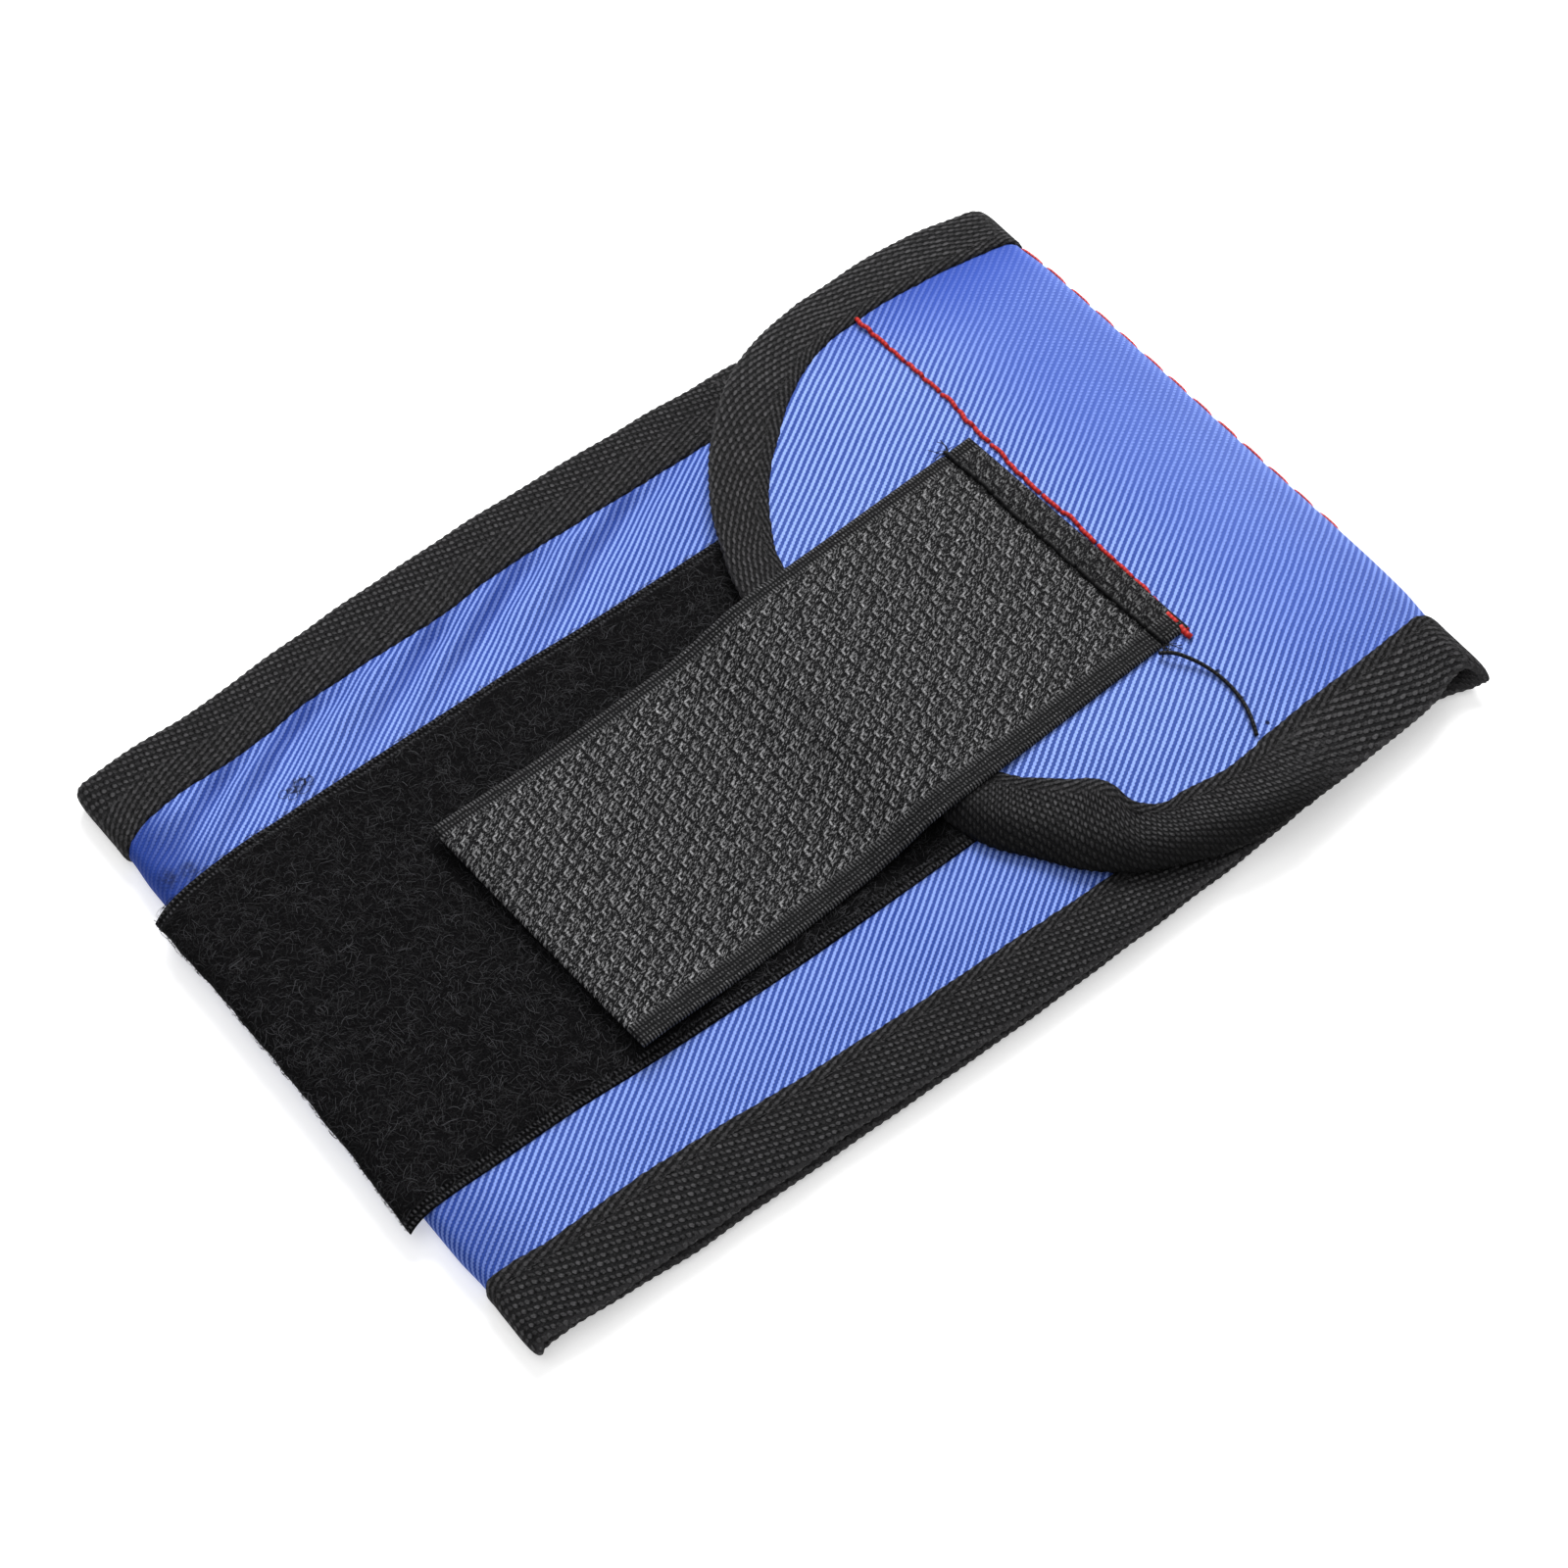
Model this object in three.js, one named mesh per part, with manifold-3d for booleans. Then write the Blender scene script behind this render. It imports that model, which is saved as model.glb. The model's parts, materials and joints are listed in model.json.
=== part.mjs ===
// Magnetic wristband, closed on itself and pressed flat, as it lies on a bench.
// Millimetres, +Z up. X runs along the folded band, Y across it, the floor is Z = 0.
// From the floor up: the base panel, the loop panel (joined to the base by the left fold)
// and the tongue (joined to the base by the right fold), with the hook strap on top.
// Every panel is a cover sheet and a mesh lining held in a U of woven binding along its edges.
// Depths are counted from the outer face of the binding towards the wrist side.
import * as THREE from 'three';
import { mergeVertices } from 'three/addons/utils/BufferGeometryUtils.js';
import Module from 'manifold-3d';

// Driving dimensions
const BAND_WIDTH = 95;
const FOLD_TO_FOLD = 140;
const TONGUE_LENGTH = 65;
const TONGUE_CORNER_RADIUS = 36;
const LOOP_PANEL_LENGTH = 100;
const COVER_THICKNESS = 0.4;
const COVER_PUFF = 0.25;
const BINDING_THICKNESS = 0.4;
const BINDING_WIDTH = 10;
const PINCHED_MESH = 0.4;
const MESH_SKIN = 0.2;
const MAGNET_DIAMETER = 16;
const MAGNET_THICKNESS = 0.8;
const MAGNET_ROWS = 3;
const MAGNET_COLUMNS = 4;
const SEAM_PITCH = 25;
const LOOP_STRIP_WIDTH = 50;
const LOOP_STRIP_THICKNESS = 0.8;
const LOOP_FLAP_REACH = 3;
const LOOP_FLAP_RADIUS = 5;
const STRAP_WIDTH = 38;
const STRAP_LENGTH = 83;
const STRAP_TAIL = 3;
const STRAP_THICKNESS = 0.6;
const STRAP_SEAM_INSET = 35;
const STRAP_DROP_LENGTH = 12;
const STRAP_OFFSET = -2.2;
const STRAP_SKEW = THREE.MathUtils.degToRad(2.6);

// Clearances
const LAYER_GAP = 0.2;
const EDGE_GAP = 0.3;
const SLAT_GAP = 0.15;
const MAGNET_GAP = 0.3;
const STRAP_HINGE_GAP = 0.15;
const STRAP_TIP_GAP = 1.5;

// Facets
const CORNER_STEPS = 10;
const MAGNET_SIDES = 32;
const STRAP_DROP_STEPS = 8;
const FLAP_STEPS = 6;

// Folds: each one turns the band back on itself through three hinge lines
const HINGES_PER_FOLD = 3;
const BEND = Math.PI / HINGES_PER_FOLD;
const MITRE = Math.tan(BEND / 2);

// Depths through a panel
const MESH_THICKNESS = MAGNET_THICKNESS + MESH_SKIN;
const COVER_FACE = BINDING_THICKNESS;
const COVER_BACK = COVER_FACE + COVER_THICKNESS;
const PUFFED_FACE = COVER_FACE - COVER_PUFF;
const PINCHED_BACK = COVER_BACK + PINCHED_MESH;
const MESH_BACK = COVER_BACK + MESH_THICKNESS;
const BINDING_BACK = PINCHED_BACK + BINDING_THICKNESS;
const PANEL_DEPTH = Math.max(MESH_BACK, BINDING_BACK);

// Heights: the base lies face down, the loop panel and the tongue face up
const LOOP_TOP = 2 * PANEL_DEPTH + LAYER_GAP;
const LOOP_STRIP_BOTTOM = LOOP_TOP - PUFFED_FACE;
const LOOP_STRIP_TOP = LOOP_STRIP_BOTTOM + LOOP_STRIP_THICKNESS;
const TONGUE_TOP = Math.max(LOOP_STRIP_TOP, LOOP_TOP) + LAYER_GAP + PANEL_DEPTH;
const STRAP_HIGH = TONGUE_TOP + LAYER_GAP;
const STRAP_LOW = LOOP_STRIP_TOP + LAYER_GAP;
const baseLevel = (depth) => depth;
const loopLevel = (depth) => LOOP_TOP - depth;
const tongueLevel = (depth) => TONGUE_TOP - depth;

// Places along the band, with the whole object centred on X = 0
const RIGHT_EDGE = (FOLD_TO_FOLD + LOOP_FLAP_REACH) / 2;
const LEFT_EDGE = RIGHT_EDGE - FOLD_TO_FOLD;
const TONGUE_TIP = RIGHT_EDGE - TONGUE_LENGTH;
const LOOP_END = LEFT_EDGE + LOOP_PANEL_LENGTH;
const FIRST_COLUMN = RIGHT_EDGE - SEAM_PITCH / 2;
const MAGNET_ROW_PITCH = BAND_WIDTH / (MAGNET_ROWS + 1);
const STRAP_SEAM = TONGUE_TIP + STRAP_SEAM_INSET;
const HALF_WIDTH = BAND_WIDTH / 2;
const FIELD_INSET = BINDING_WIDTH + EDGE_GAP;
const SHEET_INSET = BINDING_THICKNESS + EDGE_GAP;

// Materials
const finish = (color, roughness, metalness = 0) => ({ color, roughness, metalness });
const BLUE_TWILL = finish(0x3f61c8, 0.55);
const BLACK_TAPE = finish(0x1d1d1f, 0.8);
const BLACK_MESH = finish(0x242427, 0.9);
const BLACK_PILE = finish(0x111113, 0.95);
const HOOK_TAPE = finish(0x2a2a2c, 0.6);
const NICKEL = finish(0xb9bcc0, 0.25, 1);

const wasm = await Module();
wasm.setup();

const wristband = new THREE.Group();

function addPiece(name, geometry, look, group = wristband) {
  const mesh = new THREE.Mesh(geometry, new THREE.MeshStandardMaterial(look));
  mesh.name = name;
  group.add(mesh);
  return mesh;
}

// A closed solid from triangles of points, turned so that its faces point out
function closedGeometry(triangles) {
  let volume = 0;
  const normal = new THREE.Vector3();
  for (const [a, b, c] of triangles) {
    volume += normal.crossVectors(b, c).dot(a);
  }
  const points = triangles.flatMap(([a, b, c]) => (volume > 0 ? [a, b, c] : [a, c, b]));
  const geometry = new THREE.BufferGeometry().setFromPoints(points);
  geometry.computeVertexNormals();
  return geometry;
}

// Sweeps a closed profile through stations; each station places a profile point in space
function sweep(profile, stations) {
  const outline = profile.map(([u, v]) => new THREE.Vector2(u, v));
  if (THREE.ShapeUtils.isClockWise(outline)) outline.reverse();
  const rings = stations.map((place) => outline.map((point) => place(point.x, point.y)));
  const first = rings[0];
  const last = rings[rings.length - 1];
  const triangles = [];
  for (let s = 0; s + 1 < rings.length; s += 1) {
    const [near, far] = [rings[s], rings[s + 1]];
    for (let i = 0; i < outline.length; i += 1) {
      const j = (i + 1) % outline.length;
      triangles.push([near[i], near[j], far[j]], [near[i], far[j], far[i]]);
    }
  }
  for (const [a, b, c] of THREE.ShapeUtils.triangulateShape(outline, [])) {
    triangles.push([first[c], first[b], first[a]], [last[a], last[b], last[c]]);
  }
  return closedGeometry(triangles);
}

function solidOf(geometry) {
  const bare = geometry.clone();
  bare.deleteAttribute('normal');
  bare.deleteAttribute('uv');
  const merged = mergeVertices(bare, 1e-4);
  return new wasm.Manifold(new wasm.Mesh({
    numProp: 3,
    vertProperties: new Float32Array(merged.attributes.position.array),
    triVerts: new Uint32Array(merged.index.array),
  }));
}

function geometryOf(solid) {
  const { numProp, vertProperties, triVerts } = solid.getMesh();
  const positions = new Float32Array((vertProperties.length / numProp) * 3);
  for (let i = 0; i < positions.length / 3; i += 1) {
    positions.set(vertProperties.subarray(i * numProp, i * numProp + 3), i * 3);
  }
  const geometry = new THREE.BufferGeometry();
  geometry.setAttribute('position', new THREE.BufferAttribute(positions, 3));
  geometry.setIndex(new THREE.BufferAttribute(new Uint32Array(triVerts), 1));
  geometry.computeVertexNormals();
  return geometry;
}

// A flat sheet of the given outline between two depths of a panel
function sheet(shape, level, fromDepth, toDepth) {
  const bottom = Math.min(level(fromDepth), level(toDepth));
  const depth = Math.abs(toDepth - fromDepth);
  const options = { depth, bevelEnabled: false, curveSegments: CORNER_STEPS };
  return new THREE.ExtrudeGeometry(shape, options).translate(0, 0, bottom);
}

// Two sheets of one piece, such as a panel's pinched margin and its full field
function joined(first, second) {
  return solidOf(first).add(solidOf(second));
}

function rectangle(fromX, toX, halfWidth) {
  return new THREE.Shape([
    new THREE.Vector2(fromX, -halfWidth),
    new THREE.Vector2(toX, -halfWidth),
    new THREE.Vector2(toX, halfWidth),
    new THREE.Vector2(fromX, halfWidth),
  ]);
}

// The edge of a panel that starts square at rootX and ends with round corners at endX:
// points along it, each with the unit direction that leads out of the panel
function roundedEdge(rootX, endX, halfWidth, radius) {
  const side = Math.sign(endX - rootX);
  const centreX = endX - side * radius;
  const corners = [];
  for (let i = 0; i <= CORNER_STEPS; i += 1) {
    const angle = (i / CORNER_STEPS) * (Math.PI / 2);
    corners.push(new THREE.Vector2(side * Math.sin(angle), -Math.cos(angle)));
  }
  const far = corners.map((out) => new THREE.Vector2(out.x, -out.y)).reverse();
  const onCorner = (out, centreY) => ({
    point: new THREE.Vector2(centreX, centreY).addScaledVector(out, radius),
    out,
  });
  return [
    { point: new THREE.Vector2(rootX, -halfWidth), out: new THREE.Vector2(0, -1) },
    ...corners.map((out) => onCorner(out, radius - halfWidth)),
    ...far.map((out) => onCorner(out, halfWidth - radius)),
    { point: new THREE.Vector2(rootX, halfWidth), out: new THREE.Vector2(0, 1) },
  ];
}

const roundedShape = (...sizes) => new THREE.Shape(roundedEdge(...sizes).map(({ point }) => point));

// Binding: a U of tape round an edge, swept along it
const BINDING_PROFILE = [
  [0, 0],
  [BINDING_WIDTH, 0],
  [BINDING_WIDTH, COVER_FACE],
  [BINDING_THICKNESS, COVER_FACE],
  [BINDING_THICKNESS, PINCHED_BACK],
  [BINDING_WIDTH, PINCHED_BACK],
  [BINDING_WIDTH, BINDING_BACK],
  [0, BINDING_BACK],
];

function bindingAlong(edge, level) {
  const stations = edge.map(({ point, out }) => (inset, depth) => new THREE.Vector3(
    point.x - out.x * inset,
    point.y - out.y * inset,
    level(depth),
  ));
  return sweep(BINDING_PROFILE, stations);
}

// Folds: three hinge lines and two slats from the base up to the panel above
function foldPivots(edgeX, height, side) {
  const slatLength = height / (2 * Math.sin(BEND));
  const inner = edgeX - side * slatLength * Math.cos(BEND);
  return [
    new THREE.Vector2(inner, 0),
    new THREE.Vector2(edgeX, height / 2),
    new THREE.Vector2(inner, height),
  ];
}

const RIGHT_PIVOTS = foldPivots(RIGHT_EDGE, TONGUE_TOP, 1);
const LEFT_PIVOTS = foldPivots(LEFT_EDGE, LOOP_TOP, -1);

// Where a piece of a panel stops, so that it clears the mitre at the fold's hinge line
const rightRoot = (depth) => RIGHT_PIVOTS[0].x - depth * MITRE - SLAT_GAP;
const leftRoot = (depth) => LEFT_PIVOTS[0].x + depth * MITRE + SLAT_GAP;

// A slat's piece: a profile of [across, depth] points between two mitred ends
function slat(profile, from, to, side) {
  const along = to.clone().sub(from);
  const length = along.length();
  along.normalize();
  const inward = new THREE.Vector2(-along.y, along.x).multiplyScalar(side);
  const place = (distance) => (y, depth) => {
    const inFold = from.clone().addScaledVector(along, distance(depth)).addScaledVector(inward, depth);
    return new THREE.Vector3(inFold.x, y, inFold.y);
  };
  const trim = (depth) => depth * MITRE + SLAT_GAP;
  return sweep(profile, [place(trim), place((depth) => length - trim(depth))]);
}

const SHEET_EDGE = HALF_WIDTH - SHEET_INSET;
const across = (fromDepth, toDepth) => [
  [-SHEET_EDGE, fromDepth],
  [SHEET_EDGE, fromDepth],
  [SHEET_EDGE, toDepth],
  [-SHEET_EDGE, toDepth],
];

// In a fold the binding keeps its outer leg and its edge, and its inner leg is crushed away
const slatBinding = (side) => [
  [side * HALF_WIDTH, 0],
  [side * (HALF_WIDTH - BINDING_WIDTH), 0],
  [side * (HALF_WIDTH - BINDING_WIDTH), COVER_FACE],
  [side * (HALF_WIDTH - BINDING_THICKNESS), COVER_FACE],
  [side * (HALF_WIDTH - BINDING_THICKNESS), PINCHED_BACK],
  [side * HALF_WIDTH, PINCHED_BACK],
];

function addFold(name, pivots, side) {
  ['lower', 'upper'].forEach((half, i) => {
    const make = (profile) => slat(profile, pivots[i], pivots[i + 1], side);
    addPiece(`${name}_${half}_cover`, make(across(COVER_FACE, COVER_BACK)), BLUE_TWILL);
    addPiece(`${name}_${half}_mesh`, make(across(COVER_BACK, PINCHED_BACK)), BLACK_MESH);
    addPiece(`${name}_${half}_binding_near`, make(slatBinding(-1)), BLACK_TAPE);
    addPiece(`${name}_${half}_binding_far`, make(slatBinding(1)), BLACK_TAPE);
  });
}

// Magnets: discs in round recesses of the mesh, against the back of the cover
function magnetPlaces(columns) {
  const places = [];
  for (let column = 0; column < columns; column += 1) {
    for (let row = 0; row < MAGNET_ROWS; row += 1) {
      const x = FIRST_COLUMN - column * SEAM_PITCH;
      const y = (row - (MAGNET_ROWS - 1) / 2) * MAGNET_ROW_PITCH;
      places.push(new THREE.Vector2(x, y));
    }
  }
  return places;
}

function disc(radius) {
  return new THREE.CylinderGeometry(radius, radius, MAGNET_THICKNESS, MAGNET_SIDES).rotateX(Math.PI / 2);
}

function recessed(mesh, places, level) {
  const height = level(COVER_BACK + MAGNET_THICKNESS / 2);
  return places.reduce((solid, { x, y }) => {
    const recess = disc(MAGNET_DIAMETER / 2 + MAGNET_GAP).translate(x, y, height);
    return solid.subtract(solidOf(recess));
  }, mesh);
}

function addMagnets(name, places, level) {
  places.forEach(({ x, y }, i) => {
    const magnet = addPiece(`${name}_magnet_${i + 1}`, disc(MAGNET_DIAMETER / 2), NICKEL);
    magnet.position.set(x, y, level(COVER_BACK + MAGNET_THICKNESS / 2));
  });
}

// A panel's cover and mesh, from the outline of its margin and that of its field
function addPanel(name, level, outline, places = []) {
  const coverMargin = sheet(outline(SHEET_INSET, COVER_BACK), level, COVER_FACE, COVER_BACK);
  const coverField = sheet(outline(FIELD_INSET, COVER_BACK), level, PUFFED_FACE, COVER_BACK);
  const meshMargin = sheet(outline(SHEET_INSET, MESH_BACK), level, COVER_BACK, PINCHED_BACK);
  const meshField = sheet(outline(FIELD_INSET, MESH_BACK), level, COVER_BACK, MESH_BACK);
  const mesh = recessed(joined(meshMargin, meshField), places, level);
  addPiece(`${name}_cover`, geometryOf(joined(coverMargin, coverField)), BLUE_TWILL);
  addPiece(`${name}_mesh`, geometryOf(mesh), BLACK_MESH);
  addMagnets(name, places, level);
}

// Straight bindings along the near and far edges of a panel
function addSideBindings(name, fromX, toX, level) {
  for (const [edgeName, side] of [['near', -1], ['far', 1]]) {
    const out = new THREE.Vector2(0, side);
    const edge = [fromX, toX].map((x) => ({ point: new THREE.Vector2(x, side * HALF_WIDTH), out }));
    addPiece(`${name}_binding_${edgeName}`, bindingAlong(edge, level), BLACK_TAPE);
  }
}

// Base panel
addPanel(
  'base',
  baseLevel,
  (inset, depth) => rectangle(leftRoot(depth), rightRoot(depth), HALF_WIDTH - inset),
  magnetPlaces(MAGNET_COLUMNS),
);
addSideBindings('base', leftRoot(BINDING_BACK), rightRoot(BINDING_BACK), baseLevel);

// Tongue, with its rounded end
addPanel(
  'tongue',
  tongueLevel,
  (inset, depth) => roundedShape(
    rightRoot(depth),
    TONGUE_TIP + inset,
    HALF_WIDTH - inset,
    TONGUE_CORNER_RADIUS - inset,
  ),
  magnetPlaces(1),
);
const tongueEdge = roundedEdge(rightRoot(BINDING_BACK), TONGUE_TIP, HALF_WIDTH, TONGUE_CORNER_RADIUS);
addPiece('tongue_binding', bindingAlong(tongueEdge, tongueLevel), BLACK_TAPE);

// Loop panel, whose square bound end lies under the tongue
addPanel(
  'loop_panel',
  loopLevel,
  (inset, depth) => rectangle(leftRoot(depth), LOOP_END - inset, HALF_WIDTH - inset),
);
addSideBindings('loop_panel', leftRoot(BINDING_BACK), LOOP_END, loopLevel);
const loopEndEdge = [-1, 1].map((side) => ({
  point: new THREE.Vector2(LOOP_END, side * (HALF_WIDTH - FIELD_INSET)),
  out: new THREE.Vector2(1, 0),
}));
addPiece('loop_panel_binding_end', bindingAlong(loopEndEdge, loopLevel), BLACK_TAPE);

// Folds
addFold('right_fold', RIGHT_PIVOTS, 1);
addFold('left_fold', LEFT_PIVOTS, -1);

// Loop strip on the loop panel, and its cut end that droops over the left fold
const stripProfile = (halfWidth, thickness) => [
  [-halfWidth, 0],
  [halfWidth, 0],
  [halfWidth, thickness],
  [-halfWidth, thickness],
];
const LOOP_PROFILE = stripProfile(LOOP_STRIP_WIDTH / 2, LOOP_STRIP_THICKNESS);
const flatStrip = (x) => (y, height) => new THREE.Vector3(x, y, LOOP_STRIP_BOTTOM + height);
const loopStripStart = LEFT_PIVOTS[2].x + EDGE_GAP;
const loopStripStop = LOOP_END - FIELD_INSET;
addPiece('loop_strip', sweep(LOOP_PROFILE, [flatStrip(loopStripStart), flatStrip(loopStripStop)]), BLACK_PILE);

const flapStart = LEFT_PIVOTS[2].x - EDGE_GAP;
const flapReach = flapStart - (LEFT_EDGE - LOOP_FLAP_REACH);
const flapOuterRadius = Math.max(LOOP_FLAP_RADIUS, flapReach) + LOOP_STRIP_THICKNESS;
const flapDroop = Math.asin(flapReach / flapOuterRadius);
const flapStations = [];
for (let i = 0; i <= FLAP_STEPS; i += 1) {
  const angle = (i / FLAP_STEPS) * flapDroop;
  flapStations.push((y, height) => {
    const radius = flapOuterRadius - LOOP_STRIP_THICKNESS + height;
    const drop = flapOuterRadius - radius * Math.cos(angle);
    return new THREE.Vector3(flapStart - radius * Math.sin(angle), y, LOOP_STRIP_TOP - drop);
  });
}
addPiece('loop_strip_end', sweep(LOOP_PROFILE, flapStations), BLACK_PILE);

// Hook strap, a little askew: its tail sewn down on the tongue, and the stretch that peels off
const strap = new THREE.Group();
strap.position.set(STRAP_SEAM, STRAP_OFFSET, 0);
strap.rotation.z = STRAP_SKEW;
wristband.add(strap);

const STRAP_PROFILE = stripProfile(STRAP_WIDTH / 2, STRAP_THICKNESS);
const strapAt = (x, bottom) => (y, height) => new THREE.Vector3(x, y, bottom + height);
const tailStations = [strapAt(STRAP_HINGE_GAP, STRAP_HIGH), strapAt(STRAP_TAIL, STRAP_HIGH)];
addPiece('hook_strap_tail', sweep(STRAP_PROFILE, tailStations), HOOK_TAPE, strap);

const dropStart = STRAP_SEAM_INSET + STRAP_TIP_GAP;
const strapStations = [
  (y, height) => new THREE.Vector3(-STRAP_HINGE_GAP - (STRAP_THICKNESS - height), y, STRAP_HIGH + height),
];
for (let i = 0; i <= STRAP_DROP_STEPS; i += 1) {
  const part = i / STRAP_DROP_STEPS;
  const bottom = THREE.MathUtils.lerp(STRAP_HIGH, STRAP_LOW, THREE.MathUtils.smoothstep(part, 0, 1));
  strapStations.push(strapAt(-dropStart - part * STRAP_DROP_LENGTH, bottom));
}
strapStations.push(strapAt(STRAP_TAIL - STRAP_LENGTH, STRAP_LOW));
addPiece('hook_strap', sweep(STRAP_PROFILE, strapStations), HOOK_TAPE, strap);

export default wristband;
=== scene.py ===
"""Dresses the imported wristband: twill cover, bound edges, loop and hook strips, threads and magnets."""

import json
import math
from functools import reduce

import bpy
import numpy as np
from mathutils import Matrix, Vector


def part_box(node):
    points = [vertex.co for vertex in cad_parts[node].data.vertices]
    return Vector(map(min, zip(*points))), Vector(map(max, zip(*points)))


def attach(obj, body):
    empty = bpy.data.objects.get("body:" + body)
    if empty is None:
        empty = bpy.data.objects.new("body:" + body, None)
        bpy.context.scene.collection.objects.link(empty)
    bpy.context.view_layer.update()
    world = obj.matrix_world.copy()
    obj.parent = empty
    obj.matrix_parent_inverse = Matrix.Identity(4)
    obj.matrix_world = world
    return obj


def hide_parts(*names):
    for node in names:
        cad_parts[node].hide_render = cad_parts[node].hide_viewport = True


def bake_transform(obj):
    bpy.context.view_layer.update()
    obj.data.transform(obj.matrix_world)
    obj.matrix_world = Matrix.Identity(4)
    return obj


bl_info = {
    "name": "Magnetic Wristband",
    "version": (1, 0, 0),
    "blender": (4, 5, 0),
    "location": "View3D > Sidebar > Wristband",
    "description": "Sews the cloth, tape, strips and threads of a magnetic wristband onto its packed solids",
    "category": "Add Mesh",
}

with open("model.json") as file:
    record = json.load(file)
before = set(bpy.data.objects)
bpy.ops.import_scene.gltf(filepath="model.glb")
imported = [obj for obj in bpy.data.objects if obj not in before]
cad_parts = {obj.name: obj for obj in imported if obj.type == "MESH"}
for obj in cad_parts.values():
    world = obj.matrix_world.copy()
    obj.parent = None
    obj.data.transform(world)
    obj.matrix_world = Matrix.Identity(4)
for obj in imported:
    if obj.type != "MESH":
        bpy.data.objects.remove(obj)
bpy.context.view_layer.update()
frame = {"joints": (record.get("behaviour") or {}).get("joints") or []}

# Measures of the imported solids, in millimetres

MM = 0.001
PIVOT = {joint["name"]: np.array(joint["pos_m"]) / MM for joint in frame["joints"]}
AXIS = {joint["name"]: np.array(joint["axis"]) for joint in frame["joints"]}


def lowest(node):
    """The lowest corner of a solid, in mm."""
    return np.array(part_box(node)[0]) / MM


def highest(node):
    """The highest corner of a solid, in mm."""
    return np.array(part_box(node)[1]) / MM


RIGHT_EDGE = PIVOT["tongue_fold_2"][0]
LEFT_EDGE = PIVOT["loop_fold_2"][0]
TONGUE_TOP = PIVOT["tongue_fold_3"][2]
LOOP_TOP = PIVOT["loop_fold_3"][2]
TONGUE_TIP = lowest("tongue_binding")[0]
LOOP_END = highest("loop_panel_binding_end")[0]
STRIP_END = highest("loop_strip")[0]
STRIP_TOP = highest("loop_strip")[2]
STRAP_SEAM = PIVOT["strap_peel"]
STRAP_SKEW = math.atan2(-AXIS["strap_peel"][0], AXIS["strap_peel"][1])
TAPE_DEPTH = highest("base_binding_near")[2]
LINING_DEPTH = highest("base_mesh")[2]
BASE_MAGNETS = tuple(f"base_magnet_{n}" for n in range(1, 13))
TONGUE_MAGNETS = tuple(f"tongue_magnet_{n}" for n in range(1, 4))

# Outlines of the sewn panels: x, or share of a fold, and y of points on their edges, and the tape's widths

NEAR_EDGE = {
    "tongue": ((42.2, -47.6), (50.3, -47.1), (57.2, -46.7), (64.0, -45.9), (66.6, -45.0)),
    "right": ((0.12, -45.0), (0.3, -46.2), (0.5, -47.2), (0.75, -46.6)),
    "base": (
        (67.0, -45.2), (60.0, -44.6), (50.0, -44.9), (42.0, -46.0), (20.0, -46.9), (-4.0, -47.1),
        (-28.0, -46.6), (-51.0, -45.9), (-63.0, -44.9),
    ),
    "left": ((0.25, -45.2), (0.5, -45.7), (0.75, -45.3)),
    "loop": (
        (-64.0, -45.2), (-60.0, -45.6), (-48.0, -45.9), (-27.0, -46.4), (0.0, -47.3), (15.0, -47.3),
        (31.0, -47.0),
    ),
}
FAR_EDGE = {
    "tongue": ((42.2, 48.2), (51.7, 48.6), (61.0, 48.2), (66.0, 47.1)),
    "right": ((0.5, 45.7),),
    "base": ((64.0, 45.8), (40.0, 46.7), (0.0, 47.3), (-40.0, 46.8), (-63.0, 46.2)),
    "left": ((0.5, 46.2),),
    "loop": (
        (-63.0, 46.8), (-52.0, 46.7), (-39.5, 47.55), (-26.8, 48.3), (-13.4, 48.65), (0.8, 48.6),
        (15.6, 48.1), (31.0, 47.4),
    ),
}
TONGUE_END = (
    (42.2, -47.8), (36.0, -47.4), (31.0, -46.4), (27.0, -45.2), (23.4, -43.6), (19.2, -41.0),
    (15.2, -37.2), (12.6, -33.4), (9.5, -28.4), (8.0, -24.1), (7.0, -17.0), (6.6, -8.0), (6.6, 2.0),
    (7.2, 10.0), (8.6, 16.6), (10.1, 21.7), (13.1, 27.8), (17.1, 34.1), (20.3, 37.6), (24.7, 41.6),
    (30.2, 45.1), (35.6, 47.1), (42.2, 48.2),
)
TONGUE_TAPE_WIDTHS = (
    ((69.6, -45.0), 8.7), ((66.6, -45.0), 8.7), ((64.0, -45.9), 9.5), ((57.7, -46.6), 10.0),
    ((44.0, -47.5), 9.9), ((33.5, -46.9), 8.9), ((28.4, -45.7), 8.4), ((24.6, -44.2), 7.5),
    ((21.0, -42.3), 8.3), ((18.0, -40.0), 10.4), ((15.2, -37.2), 11.0), ((12.6, -33.4), 10.2),
    ((9.5, -28.4), 9.0), ((7.2, -18.0), 7.4), ((6.6, 0.0), 6.6), ((8.6, 16.6), 6.2), ((13.1, 27.8), 7.0),
    ((20.3, 37.6), 8.3), ((30.2, 45.1), 8.4), ((42.2, 48.2), 7.5), ((50.0, 48.6), 7.5),
    ((59.0, 48.3), 7.9), ((68.0, 46.4), 7.6),
)
NEAR_TAPE_WIDTHS = {
    "right": ((0.1, 8.7), (0.3, 9.3), (0.5, 9.6)),
    "base": ((60.0, 9.6), (0.0, 9.4), (-60.0, 9.6)),
    "loop": (
        (-60.0, 9.7), (-50.0, 9.9), (-40.0, 9.7), (-28.0, 8.9), (-13.0, 8.5), (0.0, 8.3), (18.0, 7.6),
    ),
}
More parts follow.
